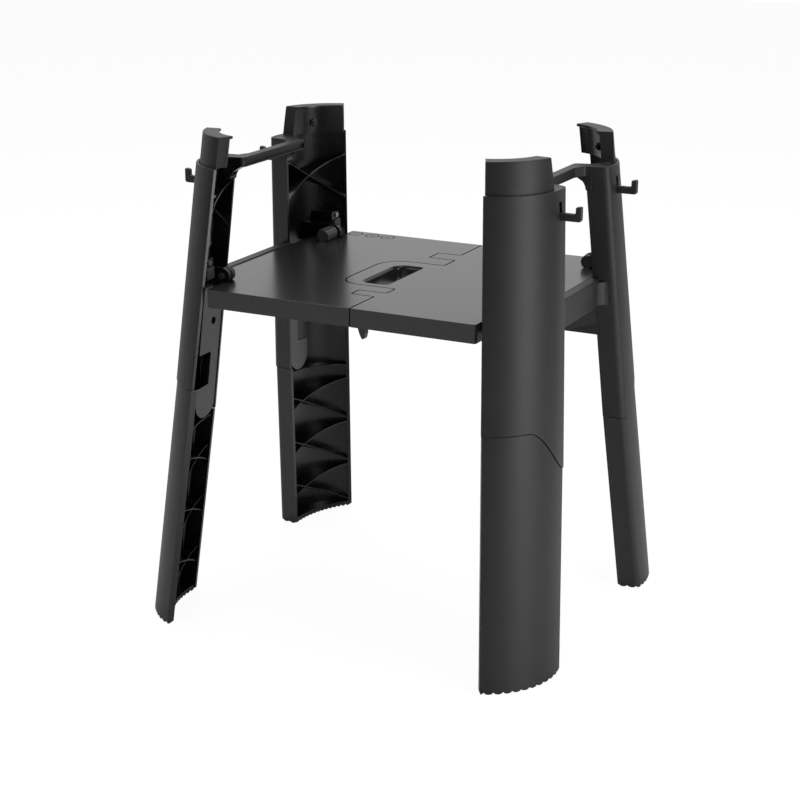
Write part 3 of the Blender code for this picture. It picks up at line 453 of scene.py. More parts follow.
def share_at(y, height, depth=0.0):
    """Share of the arc at a distance y from the middle."""
    return min(range(101), key=lambda k: abs(wall_frame((1, 1), k / 100, height, depth)[0].y - y)) / 100


def flange_at(height, depth=0.0):
    """X and Y of the flange's end."""
    spot = place(FLANGE_END + Vector((0, depth)), height, -1.0, (1, 1))
    return spot.x, spot.y


def rib_edge(t):
    """Free edge of the ribs in plan, from the flange to the lip."""
    inward = Vector((-LIP.y, LIP.x)).normalized()
    points = [FLANGE_END + Vector((0.0008, 0.0052)), FLANGE_END + Vector((0.0035, 0.0560)),
              FREE_EDGE + Vector((0.0210, -0.0400)), FREE_EDGE + LIP + inward * 0.0036]
    weights = [(1 - t) ** 3, 3 * t * (1 - t) ** 2, 3 * t * t * (1 - t), t ** 3]
    return sum((p * w for p, w in zip(points, weights)), Vector((0, 0)))


def rib_stations(steps, trim):
    """Pairs of root and free edge points with their share."""
    path = outline()
    roots = inset([p for p, _ in path], 0.0022 + 0.05 * trim)
    lengths = [0.0]
    for a, b in zip(roots, roots[1:]):
        lengths.append(lengths[-1] + (b - a).length)
    stations = []
    for k in range(steps + 1):
        t = trim + (1 - 2 * trim) * k / steps
        goal = t * lengths[-1]
        i = next(n for n in range(1, len(lengths)) if lengths[n] >= goal - 1e-9)
        part = (goal - lengths[i - 1]) / (lengths[i] - lengths[i - 1])
        root = roots[i - 1].lerp(roots[i], part)
        share = path[i - 1][1] * (1 - part) + path[i][1] * part
        edge = rib_edge(t)
        edge = edge + (root - edge).normalized() * (0.04 * trim)
        stations.append((t, root, edge, share))
    return stations


def rib(leg, ends, power=1.0, trim=0.014, steps=26):
    """One thin rib from the flange to the lip with a rounded free edge."""
    half = bpy.context.scene.stand_sizes.rib / 2
    rings = []
    for t, root, edge, share in rib_stations(steps, trim):
        level = ends[0] + (ends[1] - ends[0]) * t ** power
        back = edge + (root - edge).normalized() * half * 0.8
        section = [(root, -1.25), (back, -1), (edge, -0.35), (edge, 0.35), (back, 1), (root, 1.25)]
        rings.append([place(p, level + half * rise, share, leg) for p, rise in section])
    return loft("rib", rings)


# ---- finishes -------------------------------------------------------------------------------------
def socket(group, name, kind, direction, default=None):
    """Gives a group a named socket."""
    made = group.interface.new_socket(name=name, in_out=direction, socket_type=kind)
    if default is not None:
        made.default_value = default
    return made


def math_node(nodes, operation, *values):
    """A sum whose inputs after the first hold the values."""
    made = nodes.new("ShaderNodeMath")
    made.operation = operation
    for k, value in enumerate(values, 1):
        made.inputs[k].default_value = value
    return made


def noise_node(nodes, links, where, scale, detail, roughness=0.5):
    """Noise in the object's own space."""
    made = nodes.new("ShaderNodeTexNoise")
    for name, value in (("Scale", scale), ("Detail", detail), ("Roughness", roughness)):
        made.inputs[name].default_value = value
    links.new(where.outputs["Object"], made.inputs["Vector"])
    return made


def grain_group():
    """Fine moulded texture and slow tone changes of black plastic: a height, a tone and a roughness."""
    if "Moulded grain" in bpy.data.node_groups:
        return bpy.data.node_groups["Moulded grain"]
    group = bpy.data.node_groups.new("Moulded grain", "ShaderNodeTree")
    socket(group, "Grain size", "NodeSocketFloat", "INPUT", 900.0)
    socket(group, "Dark", "NodeSocketColor", "INPUT", (0.02, 0.02, 0.02, 1))
    socket(group, "Light", "NodeSocketColor", "INPUT", (0.04, 0.04, 0.04, 1))
    socket(group, "Roughness", "NodeSocketFloat", "INPUT", 0.5)
    socket(group, "Roughness change", "NodeSocketFloat", "INPUT", 0.08)
    socket(group, "Colour", "NodeSocketColor", "OUTPUT")
    socket(group, "Roughness", "NodeSocketFloat", "OUTPUT")
    socket(group, "Height", "NodeSocketFloat", "OUTPUT")
    nodes, links = group.nodes, group.links
    into, out = nodes.new("NodeGroupInput"), nodes.new("NodeGroupOutput")
    where = nodes.new("ShaderNodeTexCoord")
    cells = nodes.new("ShaderNodeTexVoronoi")
    cells.feature = "SMOOTH_F1"
    links.new(where.outputs["Object"], cells.inputs["Vector"])
    links.new(into.outputs["Grain size"], cells.inputs["Scale"])
    fine = noise_node(nodes, links, where, 5.0, 6.0)
    half = math_node(nodes, "MULTIPLY", 0.45)
    links.new(into.outputs["Grain size"], half.inputs[0])
    links.new(half.outputs[0], fine.inputs["Scale"])
    height = math_node(nodes, "MULTIPLY_ADD", 0.6)
    links.new(cells.outputs["Distance"], height.inputs[0])
    links.new(fine.outputs["Fac"], height.inputs[2])
    links.new(height.outputs[0], out.inputs["Height"])
    slow = noise_node(nodes, links, where, 11.0, 5.0, 0.6)
    blend = nodes.new("ShaderNodeMapRange")
    blend.inputs["From Min"].default_value = 0.3
    blend.inputs["From Max"].default_value = 0.7
    links.new(slow.outputs["Fac"], blend.inputs["Value"])
    tone = nodes.new("ShaderNodeMix")
    tone.data_type = "RGBA"
    links.new(blend.outputs["Result"], tone.inputs["Factor"])
    links.new(into.outputs["Dark"], tone.inputs[6])
    links.new(into.outputs["Light"], tone.inputs[7])
    links.new(tone.outputs[2], out.inputs["Colour"])
    centred = math_node(nodes, "SUBTRACT", 0.5)
    links.new(slow.outputs["Fac"], centred.inputs[0])
    rough = math_node(nodes, "MULTIPLY_ADD")
    links.new(centred.outputs[0], rough.inputs[0])
    links.new(into.outputs["Roughness change"], rough.inputs[1])
    links.new(into.outputs["Roughness"], rough.inputs[2])
    links.new(rough.outputs[0], out.inputs["Roughness"])
    return group


def edge_group():
    """Mask of polished edges, from how sharply the surface turns."""
    if "Edge polish" in bpy.data.node_groups:
        return bpy.data.node_groups["Edge polish"]
    group = bpy.data.node_groups.new("Edge polish", "ShaderNodeTree")
    socket(group, "Colour", "NodeSocketColor", "INPUT", (0.02, 0.02, 0.02, 1))
    socket(group, "Amount", "NodeSocketFloat", "INPUT", 0.5)
    socket(group, "Colour", "NodeSocketColor", "OUTPUT")
    nodes, links = group.nodes, group.links
    into, out = nodes.new("NodeGroupInput"), nodes.new("NodeGroupOutput")
    shape = nodes.new("ShaderNodeNewGeometry")
    ramp = nodes.new("ShaderNodeMapRange")
    ramp.inputs["From Min"].default_value = 0.515
    ramp.inputs["From Max"].default_value = 0.60
    links.new(shape.outputs["Pointiness"], ramp.inputs["Value"])
    broken = noise_node(nodes, links, nodes.new("ShaderNodeTexCoord"), 140.0, 4.0)
    part = math_node(nodes, "MULTIPLY")
    links.new(ramp.outputs["Result"], part.inputs[0])
    links.new(broken.outputs["Fac"], part.inputs[1])
    amount = math_node(nodes, "MULTIPLY")
    links.new(part.outputs[0], amount.inputs[0])
    links.new(into.outputs["Amount"], amount.inputs[1])
    mix = nodes.new("ShaderNodeMix")
    mix.data_type = "RGBA"
    mix.inputs[7].default_value = (0.11, 0.11, 0.112, 1)
    links.new(amount.outputs[0], mix.inputs["Factor"])
    links.new(into.outputs["Colour"], mix.inputs[6])
    links.new(mix.outputs[2], out.inputs["Colour"])
    return group


def grained(name, grain, tones, roughness, change, bump, distance):
    """A new material whose roughness and relief follow the grain, with its shader and its grain node."""
    made = bpy.data.materials.new(name)
    made.use_nodes = True
    nodes, links = made.node_tree.nodes, made.node_tree.links
    shader = nodes["Principled BSDF"]
    texture = nodes.new("ShaderNodeGroup")
    texture.node_tree = grain_group()
    texture.inputs["Grain size"].default_value = grain
    for label, tone in zip(("Dark", "Light"), tones):
        texture.inputs[label].default_value = (*tone, 1)
    texture.inputs["Roughness"].default_value = roughness
    texture.inputs["Roughness change"].default_value = change
    links.new(texture.outputs["Roughness"], shader.inputs["Roughness"])
    relief = nodes.new("ShaderNodeBump")
    relief.inputs["Strength"].default_value = bump
    relief.inputs["Distance"].default_value = distance
    links.new(texture.outputs["Height"], relief.inputs["Height"])
    links.new(relief.outputs["Normal"], shader.inputs["Normal"])
    return made, shader, texture


def plastic(name, colour, roughness, grain, bump, change=0.08, spread=0.18, edge=0.5, specular=0.5):
    """Black plastic that slowly changes tone and roughness, with a fine grain and lighter polished edges."""
    if name in bpy.data.materials:
        return bpy.data.materials[name]
    tones = [[c * (1 + turn * spread) for c in colour] for turn in (-1, 1)]
    made, shader, texture = grained(name, grain, tones, roughness, change, bump, 0.00005)
    shader.inputs["Specular IOR Level"].default_value = specular
    nodes, links = made.node_tree.nodes, made.node_tree.links
    polish = nodes.new("ShaderNodeGroup")
    polish.node_tree = edge_group()
    polish.inputs["Amount"].default_value = edge
    links.new(texture.outputs["Colour"], polish.inputs["Colour"])
    links.new(polish.outputs["Colour"], shader.inputs["Base Color"])
    return made


def outer_plastic():
    """Matte plastic of the outer faces."""
    look = bpy.context.scene.stand_finish
    return plastic("outer_matte", look.outer, look.matte, 1500.0, 0.35, edge=0.12, specular=0.42)


def inner_plastic():
    """Smooth plastic of the faces inside the legs."""
    look = bpy.context.scene.stand_finish
    return plastic("inner_smooth", look.inner, 0.27, 700.0, 0.10, spread=0.25, edge=0.12, specular=0.45)


def shelf_plastic():
    """Glossy plastic of the shelf."""
    look = bpy.context.scene.stand_finish
    return plastic("shelf_gloss", look.shelf, look.gloss, 420.0, 0.05, change=0.10, spread=0.2, edge=0.15)


def painted_shade_plastic():
    """Near-black rough plastic with almost no reflection inside the shelf's joint and the ring-mark grooves:
    painted shade where light does not reach.
    """
    return plastic("gap_rough", (0.0008, 0.0008, 0.0008), 0.85, 700.0, 0.2, edge=0.0, specular=0.04)


def control_plastic():
    """Grained plastic of the hooks, buttons and lever."""
    look = bpy.context.scene.stand_finish
    return plastic("control_grained", [c * 1.6 for c in look.inner], 0.42, 1800.0, 0.5, edge=0.6)


def steel(name="plated_steel", tone=1.0):
    """Plated steel with fine turning marks and a few darker patches, blackened by a lower tone."""
    if name in bpy.data.materials:
        return bpy.data.materials[name]
    metal = [c * tone for c in bpy.context.scene.stand_finish.metal]
    tones = [[c * 0.72 for c in metal], metal]
    made, shader, texture = grained(name, 2600.0, tones, 0.30, 0.25, 0.25, 0.00003)
    shader.inputs["Metallic"].default_value = 1.0
    made.node_tree.links.new(texture.outputs["Colour"], shader.inputs["Base Color"])
    return made


def leg_section_pick(polygon):
    """0 for the matte outer faces of the legs and tops, 1 for everything inside."""
    c, n = polygon.center, polygon.normal
    spot = Vector((abs(c.x), abs(c.y)))
    middle, radius, _ = arc_circle()
    rise = max(0.0, c.z - SEAM_AT_FLANGE) / (RIM - SEAM_AT_FLANGE)
    flat = spot - SPLAY * c.z
    away = Vector((n.x * math.copysign(1, c.x), n.y * math.copysign(1, c.y)))
    radial = flat - middle
    by_face = radial.length > radius - 0.0035 - 0.010 * rise
    if away.length > 0.5 and by_face and away.dot(radial.normalized()) > 0.35:
        return 0
    flange = flat - FLANGE_END
    if away.y < -0.6 and flange.y < 0.011 + FLANGE_TAPER.y * rise and flange.x > -0.004:
        return 0
    if n.z > 0.7 and c.z > RIM - 0.0035 or spot.y < flange_at(c.z)[1] - 0.0003:
        return 0
    return 1


# ---- repeated pieces ------------------------------------------------------------------------------
def repeat_tree(name, inputs, build_item):
    """A tree that puts one item on each point, turned by the point's turn, as faces of one material."""
    group = bpy.data.node_groups.new(name, "GeometryNodeTree")
    socket(group, "Geometry", "NodeSocketGeometry", "INPUT")
    for label, value in inputs:
        socket(group, label, "NodeSocketFloat", "INPUT", value)
    socket(group, "Material", "NodeSocketMaterial", "INPUT")
    socket(group, "Geometry", "NodeSocketGeometry", "OUTPUT")
    nodes, links = group.nodes, group.links
    into, out = nodes.new("NodeGroupInput"), nodes.new("NodeGroupOutput")
    item = build_item(nodes, links, into)
    spread = nodes.new("GeometryNodeInstanceOnPoints")
    turn = nodes.new("GeometryNodeInputNamedAttribute")
    turn.data_type = "FLOAT_VECTOR"
    turn.inputs["Name"].default_value = "turn"
    euler = nodes.new("FunctionNodeEulerToRotation")
    links.new(turn.outputs[0], euler.inputs[0])
    links.new(euler.outputs[0], spread.inputs["Rotation"])
    links.new(into.outputs["Geometry"], spread.inputs["Points"])
    links.new(item, spread.inputs["Instance"])
    real = nodes.new("GeometryNodeRealizeInstances")
    links.new(spread.outputs[0], real.inputs[0])
    paint = nodes.new("GeometryNodeSetMaterial")
    links.new(real.outputs[0], paint.inputs["Geometry"])
    links.new(into.outputs["Material"], paint.inputs["Material"])
    links.new(paint.outputs[0], out.inputs["Geometry"])
    return group


def screw_item(nodes, links, into):
    """A pan head on +Z with a crossed recess."""
    head = nodes.new("GeometryNodeMeshCylinder")
    head.inputs["Vertices"].default_value = 40
    links.new(into.outputs["Head radius"], head.inputs["Radius"])
    links.new(into.outputs["Head height"], head.inputs["Depth"])
    cut = nodes.new("GeometryNodeMeshBoolean")
    cut.operation = "DIFFERENCE"
    links.new(head.outputs["Mesh"], cut.inputs["Mesh 1"])
    for along in (0, 1):
        bar = nodes.new("GeometryNodeMeshCube")
        size = nodes.new("ShaderNodeCombineXYZ")
        for axis, part in ((along, 1.25), (1 - along, 0.26)):
            span = math_node(nodes, "MULTIPLY", part)
            links.new(into.outputs["Head radius"], span.inputs[0])
            links.new(span.outputs[0], size.inputs[axis])
        links.new(into.outputs["Head height"], size.inputs[2])
        links.new(size.outputs[0], bar.inputs["Size"])
        move = nodes.new("GeometryNodeTransform")
        lift = nodes.new("ShaderNodeCombineXYZ")
        half = math_node(nodes, "MULTIPLY", 0.62)
        links.new(into.outputs["Head height"], half.inputs[0])
        links.new(half.outputs[0], lift.inputs[2])
        links.new(lift.outputs[0], move.inputs["Translation"])
        links.new(bar.outputs["Mesh"], move.inputs["Geometry"])
        links.new(move.outputs[0], cut.inputs["Mesh 2"])
    return cut.outputs["Mesh"]


def ridge_item(nodes, links, into):
    """A low rounded ridge along Y."""
    bar = nodes.new("GeometryNodeMeshCylinder")
    bar.inputs["Vertices"].default_value = 14
    links.new(into.outputs["Ridge radius"], bar.inputs["Radius"])
    links.new(into.outputs["Ridge length"], bar.inputs["Depth"])
    move = nodes.new("GeometryNodeTransform")
    move.inputs["Rotation"].default_value = (math.pi / 2, 0, 0)
    links.new(bar.outputs["Mesh"], move.inputs["Geometry"])
    return move.outputs[0]


def repeated(name, tree, values, spots, body, material, nodes=()):
    """Bakes a tree over spots, each a place and a turn, into one plain mesh."""
    mesh = bpy.data.meshes.new(name)
    mesh.from_pydata([p for p, _ in spots], [], [])
    turns = mesh.attributes.new("turn", "FLOAT_VECTOR", "POINT")
    for k, (_, direction) in enumerate(spots):
        turns.data[k].vector = direction
    piece = new_object(name, mesh)
    live = piece.modifiers.new("repeat", "NODES")
    live.node_group = tree
    for item in tree.interface.items_tree:
        if item.in_out == "INPUT" and item.name in values:
            live[item.identifier] = values[item.name]
        if item.in_out == "INPUT" and item.name == "Material":
            live[item.identifier] = material
    bake(piece)
    piece.data.name = name
    if not piece.data.materials:
        piece.data.materials.append(material)
    piece.data.shade_smooth()
    piece.data.set_sharp_from_angle(angle=math.radians(35))
    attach(piece, body)
    if nodes:
        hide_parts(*nodes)
    return piece


def facing(direction):
    """Turn that takes +Z to a direction."""
    return Vector(direction).to_track_quat("Z", "Y").to_euler()


# ---- side frames ----------------------------------------------------------------------------------
def crossbar(side):
    """Top crossbar with its turned-out ends and the gussets under them, and the groove that is cut in it."""
    inner, width = 0.2140, 0.0145
    outer = inner + width
    end_x, end_y = flange_at(RIM)
    quarter = [(inner, 0.0860), (end_x - 0.0010, end_y + 0.0220), (end_x + 0.0120, end_y + 0.0220),
               (end_x + 0.0120, end_y + 0.0020), (end_x + 0.0002, end_y + 0.0008), (outer, end_y - 0.0180)]
    plan = quarter + [(x, -y) for x, y in quarter[::-1]]
    radii = [0.008, 0.0, 0.0, 0.0, 0.006, 0.010]
    plan = rounded([(x * side, y) for x, y in plan], radii + radii[::-1])
    top = RIM - 0.0003
    low = top - 0.0140
    parts = [prism("bar", plan, "Z", low, top, 0.0010, 3)]
    for turn in (-1, 1):
        steps = [(-0.0175, 0.0010), (-0.0160, -0.0004), (-0.0030, -0.0080), (0.0002, -0.0140),
                 (0.0012, -0.0200), (0.0100, -0.0200), (0.0100, 0.0010)]
        wedge = [((end_x + x) * side, low + z) for x, z in steps]
        wedge = rounded(wedge, [0, 0, 0.008, 0.006, 0.003, 0, 0], 4)
        parts.append(prism("gusset", wedge, "Y", turn * (end_y + 0.0012), turn * (end_y + 0.0190), 0.0006))
    groove = box("groove", (side * (inner - 0.002), side * (inner + 0.0035)), (-0.0830, 0.0830),
                 (low + 0.0022, top - 0.0040), 0.0004)
    return parts, groove


def top_plate(leg):
    """Plate that closes the top of the upper leg between its flange and the cap."""
    path = [(p, share) for p, share in outline() if share <= 0.25]
    points = [p for p, _ in path]
    edge = list(zip(inset(points, 0.0020), [share for _, share in path]))
    edge += [(inset(points, 0.0240)[-1], path[-1][1]), (inset(points, 0.0145)[0], -1.0)]
    return loft("plate", [[place(p, height, share, leg) for p, share in edge]
                          for height in (RIM - 0.0027, RIM - 0.0004)])


def lower_rail(side):
    """Rail beside the shelf, with a curved fillet against each leg."""
    inner, width = 0.2422, 0.0145
    outer = inner + width
    top = SHELF_TOP + 0.0012
    low = top - 0.0400
    _, reach = flange_at(top, 0.0030)
    corners = [(inner * side, low), (outer * side, low), (outer * side, top), (inner * side, top)]
    section = rounded(corners, 0.0014, 3)
    parts = [prism("rail", section, "Y", -reach, reach)]
    for turn in (-1, 1):
        _, near = flange_at(low, 0.0012)
        steps = [(-0.0020, -0.0200), (0.0012, -0.0130), (0.0042, -0.0070), (0.0085, -0.0030),
                 (0.0130, -0.0010), (0.0130, 0.0012), (-0.0020, 0.0012)]
        fillet = [((outer + x) * side, (near + y) * turn) for x, y in steps]
        parts.append(prism("fillet", fillet, "Z", low + 0.0030, top - 0.0040, 0.0006))
    return parts


def cover_plate(leg):
    """Flat plate inside the upper leg, round at its lower end, with a hole and a cut-back."""
    wide, thick = 0.0520, 0.0030
    radius = wide / 2
    bottom, top = 0.2690, 0.4680
    turns = [math.pi + math.pi * k / 24 for k in range(25)]
    shape = [(radius + radius * math.cos(t), bottom + radius + radius * math.sin(t)) for t in turns]
    shape += [(wide, 0.3160), (wide - 0.0290, 0.3175), (wide - 0.0300, 0.3190), (wide - 0.0300, 0.3640),
              (wide - 0.0285, 0.3658), (wide, 0.3660), (wide, top), (0.0, top)]
    start = FLANGE_END + Vector((0.0006, 0.0032))
    rings = [[place(start + Vector((d, v)), z, -1.0, leg) for v, z in shape] for d in (0.0, thick)]
    plate = loft("cover", rings)
    middle = place(start + Vector((0, radius * 0.85)), 0.4110, -1.0, leg)
    hole = round_bar("hole", middle - Vector((0.01, 0, 0)), middle + Vector((0.01, 0, 0)), 0.0055, 32)
    combine(plate, [hole], "DIFFERENCE")
    return plate


def wall_x(y, height):
    """Distance out to the leg's wall, 3 mm behind its face, at a distance y from the middle."""
    return wall_frame((1, 1), share_at(y, height, 0.003), height, 0.003)[0].x


def lug(side, turn):
    """Ear on the leg's wall that carries a pivot pin."""
    x = PIVOT_X[side]
    turns = [math.radians(90 + 180 * k / 16) for k in range(17)]
    ear = [(x + side * LUG * math.cos(a), PIVOT_Z + LUG * math.sin(a)) for a in turns]
    reach = min(wall_x(y, PIVOT_Z + LUG) for y in LUG_Y)
    ear += [(side * reach, PIVOT_Z - 0.021), (side * reach, PIVOT_Z + LUG)]
    return prism("lug", ear, "Y", turn * LUG_Y[0], turn * LUG_Y[1], 0.0006)


def boss(side, turn):
    """Block on the leg's wall for a lock button, and the pocket that is cut in it."""
    reach = [wall_x(y, BOSS_Z[1]) for y in BOSS_Y]
    plan = [(BOSS_X, BOSS_Y[0]), (reach[0], BOSS_Y[0]), (reach[1], BOSS_Y[1]), (BOSS_X, BOSS_Y[1])]
    plan = rounded([(x * side, y * turn) for x, y in plan], [0.0015, 0, 0, 0.0015], 3)
    block = prism("boss", plan, "Z", *BOSS_Z, 0.0009)
    pocket = box("pocket", (side * (BOSS_X - 0.005), side * (BOSS_X + 0.010)),
                 (turn * (BUTTON_Y[0] - FIT), turn * (BUTTON_Y[1] + FIT)),
                 (BUTTON_Z[0] - FIT, BUTTON_Z[1] + FIT))
    return block, pocket


def barrel_start(side, turn):
    """Inner end of a barrel: the back left one is the long one."""
    return 0.1200 if side < 0 < turn else 0.1430


def hook_spot(side, turn):
    """Where a hook leaves the leg's outer face."""
    face, _ = wall_frame((1, 1), share_at(HOOK_Y, HOOK_Z), HOOK_Z)
    return Vector((side * face.x, turn * HOOK_Y, HOOK_Z))


def hook_slot(side, turn):
    """Slot in the upper leg that a hook is clipped into."""
    spot = hook_spot(side, turn)
    half = HOOK_WIDTH / 2 + FIT
    low, high = HOOK_Z - HOOK_ARM / 2 - FIT, HOOK_Z + HOOK_ARM / 2 + HOOK_SLOT
    plan = [(spot.y - half, low), (spot.y + half, low), (spot.y + half, high), (spot.y - half, high)]
    return prism("slot", rounded(plan, 0.0012, 3), "X", spot.x - side * 0.010, spot.x + side * 0.006)


def frame_body(leg_name):
    """Body that a leg's pieces ride on."""
    return "frame_" + leg_name.split("_")[1]


class STAND_OT_frames(bpy.types.Operator):
    """Builds the two side frames: upper legs, crossbar, rail, ribs, cover plates and ears"""
    bl_idname = "stand.frames"
    bl_label = "Side frames"

    def execute(self, context):
        for name, side in SIDES.items():
            parts = []
            for turn in (-1, 1):
                parts.append(wall("leg", (side, turn), 0.0, UPPER_WALL, seam_height, RIM, short_lip(0.30)))
                parts.append(top_plate((side, turn)))
            bar, groove = crossbar(side)
            parts += bar + lower_rail(side)
            cuts = [groove]
            for turn in (-1, 1):
                leg = (side, turn)
                block, pocket = boss(side, turn)
                parts += [rib(leg, (0.541, 0.608), 0.65, 0.010), rib(leg, (0.609, 0.540)), cover_plate(leg),
                          lug(side, turn), block]
                cuts += [pocket, hook_slot(side, turn)]
            web_x, web_y = flange_at(0.4195, 0.0002)
            parts.append(box("web", (side * (web_x - 0.0480), side * (web_x + 0.0050)),
                             (web_y, web_y + 0.0040), (0.4010, 0.4380), 0.0006))
            finish("frame_moulding_" + name, parts, cuts, [outer_plastic(), inner_plastic()],
                   "frame_" + name, ["side_frame_" + name], leg_section_pick)
        return {"FINISHED"}


# ---- lower legs -----------------------------------------------------------------------------------
def sole(leg):
    """Plate that closes the foot, with scallops under it."""
    sizes = bpy.context.scene.stand_sizes
    rings = []
    steps = sizes.teeth * 6
    for k, (_, root, edge, share) in enumerate(rib_stations(steps, 0.006)):
        low = sizes.tooth_depth * (1 - abs(math.sin(math.pi * k / 6)) ** 0.6)
        rings.append([place(root, low, share, leg), place(edge, low, share, leg),
                      place(edge, 0.008, share, leg), place(root, 0.008, share, leg)])
    return loft("sole", rings)


class STAND_OT_lower_legs(bpy.types.Operator):
    """Builds the four lower legs with their crossing ribs, collars, tenons and scalloped soles"""
    bl_idname = "stand.lower_legs"
    bl_label = "Lower legs"

    def execute(self, context):
        pitch = context.scene.stand_sizes.rib_pitch
        for name, leg in LEGS.items():
            path = outline()
            tenon_path = [(p, share) for p, share in path if share <= 0.90]
            tenon_path[0] = (FLANGE_END + (CORNER - FLANGE_END).normalized() * 0.0075, -1.0)
            parts = [wall("skin", leg, LOWER_INSET, 0.0053, 0.0030,
                          lambda share: seam_height(share) - 0.0008, path, 0.0006),
                     wall("tenon", leg, UPPER_WALL + FIT, 0.0035, 0.262, 0.375, tenon_path, 0.0004),
                     sole(leg), rib(leg, (0.268, 0.256), 1.0, 0.018)]
            for k in range(3):
                drop = k * pitch
                parts.append(rib(leg, (0.197 - drop, 0.234 - drop), 0.65, 0.010))
                parts.append(rib(leg, (max(0.225 - drop, 0.0106), max(0.162 - drop, 0.0106))))
            finish("lower_leg_moulding_" + name, parts, [], [outer_plastic(), inner_plastic()],
                   frame_body(name), ["lower_leg_" + name], leg_section_pick)
        return {"FINISHED"}


# ---- caps and hooks -------------------------------------------------------------------------------
def cap_path(first, last, steps=24):
    """The outer arc between two shares, as (point, share)."""
    arc = arc_points(401)
    shares = [first + (last - first) * k / steps for k in range(steps + 1)]
    return [(arc[round(s * 400)], s) for s in shares]


def end_slope(leg, base, top):
    """Block that takes the cap's end by the corner down to a slope, narrower at the top."""
    low, inward = wall_frame(leg, 0.24, base)
    high, _ = wall_frame(leg, 0.30, top)
    lean = (high - low) / (top - base)
    low, high = low - lean * 0.010, high + lean * 0.010
    beside, _ = wall_frame(leg, 0.0, base)
    away = (beside - low).normalized() * 0.03
    rings = [[p + inward * d for p in (low, high, high + away, low + away)] for d in (-0.012, 0.050)]
    return loft("slope", rings)


class STAND_OT_caps(bpy.types.Operator):
    """Builds the curved caps on top of the legs"""
    bl_idname = "stand.caps"
    bl_label = "Top caps"

    def execute(self, context):
        base, top = RIM + 0.0001, CAP_TOP
        thick, soft = 0.0040, 0.0014
        face, outer, near, inner = 0.0052, 0.0090, 0.0195, 0.0280
        under = top - thick
        shave, third = 0.0006, soft * 0.3
        profile = [(face, base), (outer, base), (outer, under), (near, under), (near, base),
                   (near + thick, base), (near + thick, under), (inner - shave, under),
                   (inner, under + shave), (inner, top - soft), (inner - third, top - third),
                   (inner - soft, top), (face + soft, top), (face + third, top - third), (face, top - soft)]
        block = [(0.0062, base + 0.0006), (near + 0.002, base + 0.0006), (near + 0.002, top - 0.001),
                 (0.0062, top - 0.001)]
        skirt = [(0.0050, RIM - 0.020), (0.0081, RIM - 0.020), (0.0081, RIM + 0.010), (0.0050, RIM + 0.010)]
        for name, leg in LEGS.items():
            parts = [channel("body", leg, cap_path(0.24, 0.99), profile)]
            for first, last in ((0.243, 0.350), (0.940, 0.987)):
                parts.append(channel("end", leg, cap_path(first, last, 3), block))
            parts.append(channel("skirt", leg, cap_path(0.27, 0.975), skirt))
            spot, inward = wall_frame(leg, *CAP_SCREW)
            back = spot + inward * (near + thick)
            boss_ends = back - inward * 0.002, back + inward * 0.0035
            parts.append(round_bar("boss", *boss_ends, 0.0055, 32, 0.0005))
            finish("cap_" + name, parts, [end_slope(leg, base, top)], [outer_plastic(), inner_plastic()],
                   frame_body(name), ["top_cap_" + name], cap_pick)
        return {"FINISHED"}


def cap_pick(polygon):
    """0 for the cap's matte outer and upper faces, 1 for its inner ones."""
    c, n = polygon.center, polygon.normal
    if n.z > 0.5 and c.z > CAP_TOP - 0.003:
        return 0
    middle, _, _ = arc_circle()
    radial = Vector((abs(c.x), abs(c.y))) - SPLAY * c.z - middle
    away = Vector((n.x * math.copysign(1, c.x), n.y * math.copysign(1, c.y)))
    radial.normalize()
    return 0 if away.dot(radial) > 0.4 or abs(away.cross(radial)) > 0.8 else 1


class STAND_OT_hooks(bpy.types.Operator):
    """Builds the hooks clipped into the upper legs"""
    bl_idname = "stand.hooks"
    bl_label = "Tool hooks"

    def execute(self, context):
        for name, (side, turn) in LEGS.items():
            spot = hook_spot(side, turn)
            inside, tip = spot.x - side * 0.0060, spot.x + side * 0.0290
            low, high = HOOK_Z - HOOK_ARM / 2, HOOK_Z + HOOK_ARM / 2
            shape = [(inside, low), (tip, low), (tip, low + 0.0205), (tip - side * 0.0080, low + 0.0190),
                     (tip - side * 0.0080, high), (inside, high)]
            arm = prism("arm", rounded(shape, [0, 0.0042, 0.0022, 0.0022, 0.0028, 0], 5), "Y",
                        spot.y - HOOK_WIDTH / 2, spot.y + HOOK_WIDTH / 2, 0.0009, 3)
            clip = box("clip", (inside - side * 0.0030, inside + side * 0.0002),
                       (spot.y - 0.0060, spot.y + 0.0060), (low - 0.0025, high + 0.0020), 0.0005)
            finish("hook_" + name, [arm, clip], [], [control_plastic()], frame_body(name),
                   ["tool_hook_" + name])
        return {"FINISHED"}


# ---- shelf ----------------------------------------------------------------------------------------
def joint_path(grow):
    """Plan of the joint between the halves, front to back, with its tabs and the handle tongue."""
    left, right, tip, straight = -0.0158, 0.0262, -0.0640, 0.0198
    corners = [((straight, -HALF_DEPTH), 0), ((straight, -0.1400), 0.0035), ((left, -0.1400), 0.0020),
               ((left, -0.1165), 0.0020), ((right, -0.1165), 0.0040), ((right, -0.0895), 0.0040),
               ((tip, -0.0895), 0.0340), ((tip, 0.0625), 0.0420), ((right, 0.0640), 0.0040),
               ((right, 0.1010), 0.0040), ((left, 0.1010), 0.0020), ((left, 0.1330), 0.0020),
               ((straight, 0.1330), 0.0035), ((straight, HALF_DEPTH), 0)]
    points = [Vector(p) for p, _ in corners]
    path = points[:1]
    for a, p, b, (_, radius) in zip(points, points[1:], points[2:], corners[1:]):
        reach = min(radius, (p - a).length * 0.48, (b - p).length * 0.48)
        first, last = p + (a - p).normalized() * reach, p + (b - p).normalized() * reach
        steps = 18 if radius > 0.01 else 5
        path += [bend(first, p, last, k / steps) for k in range(steps + 1)]
    return inset(path + points[-1:], -grow)


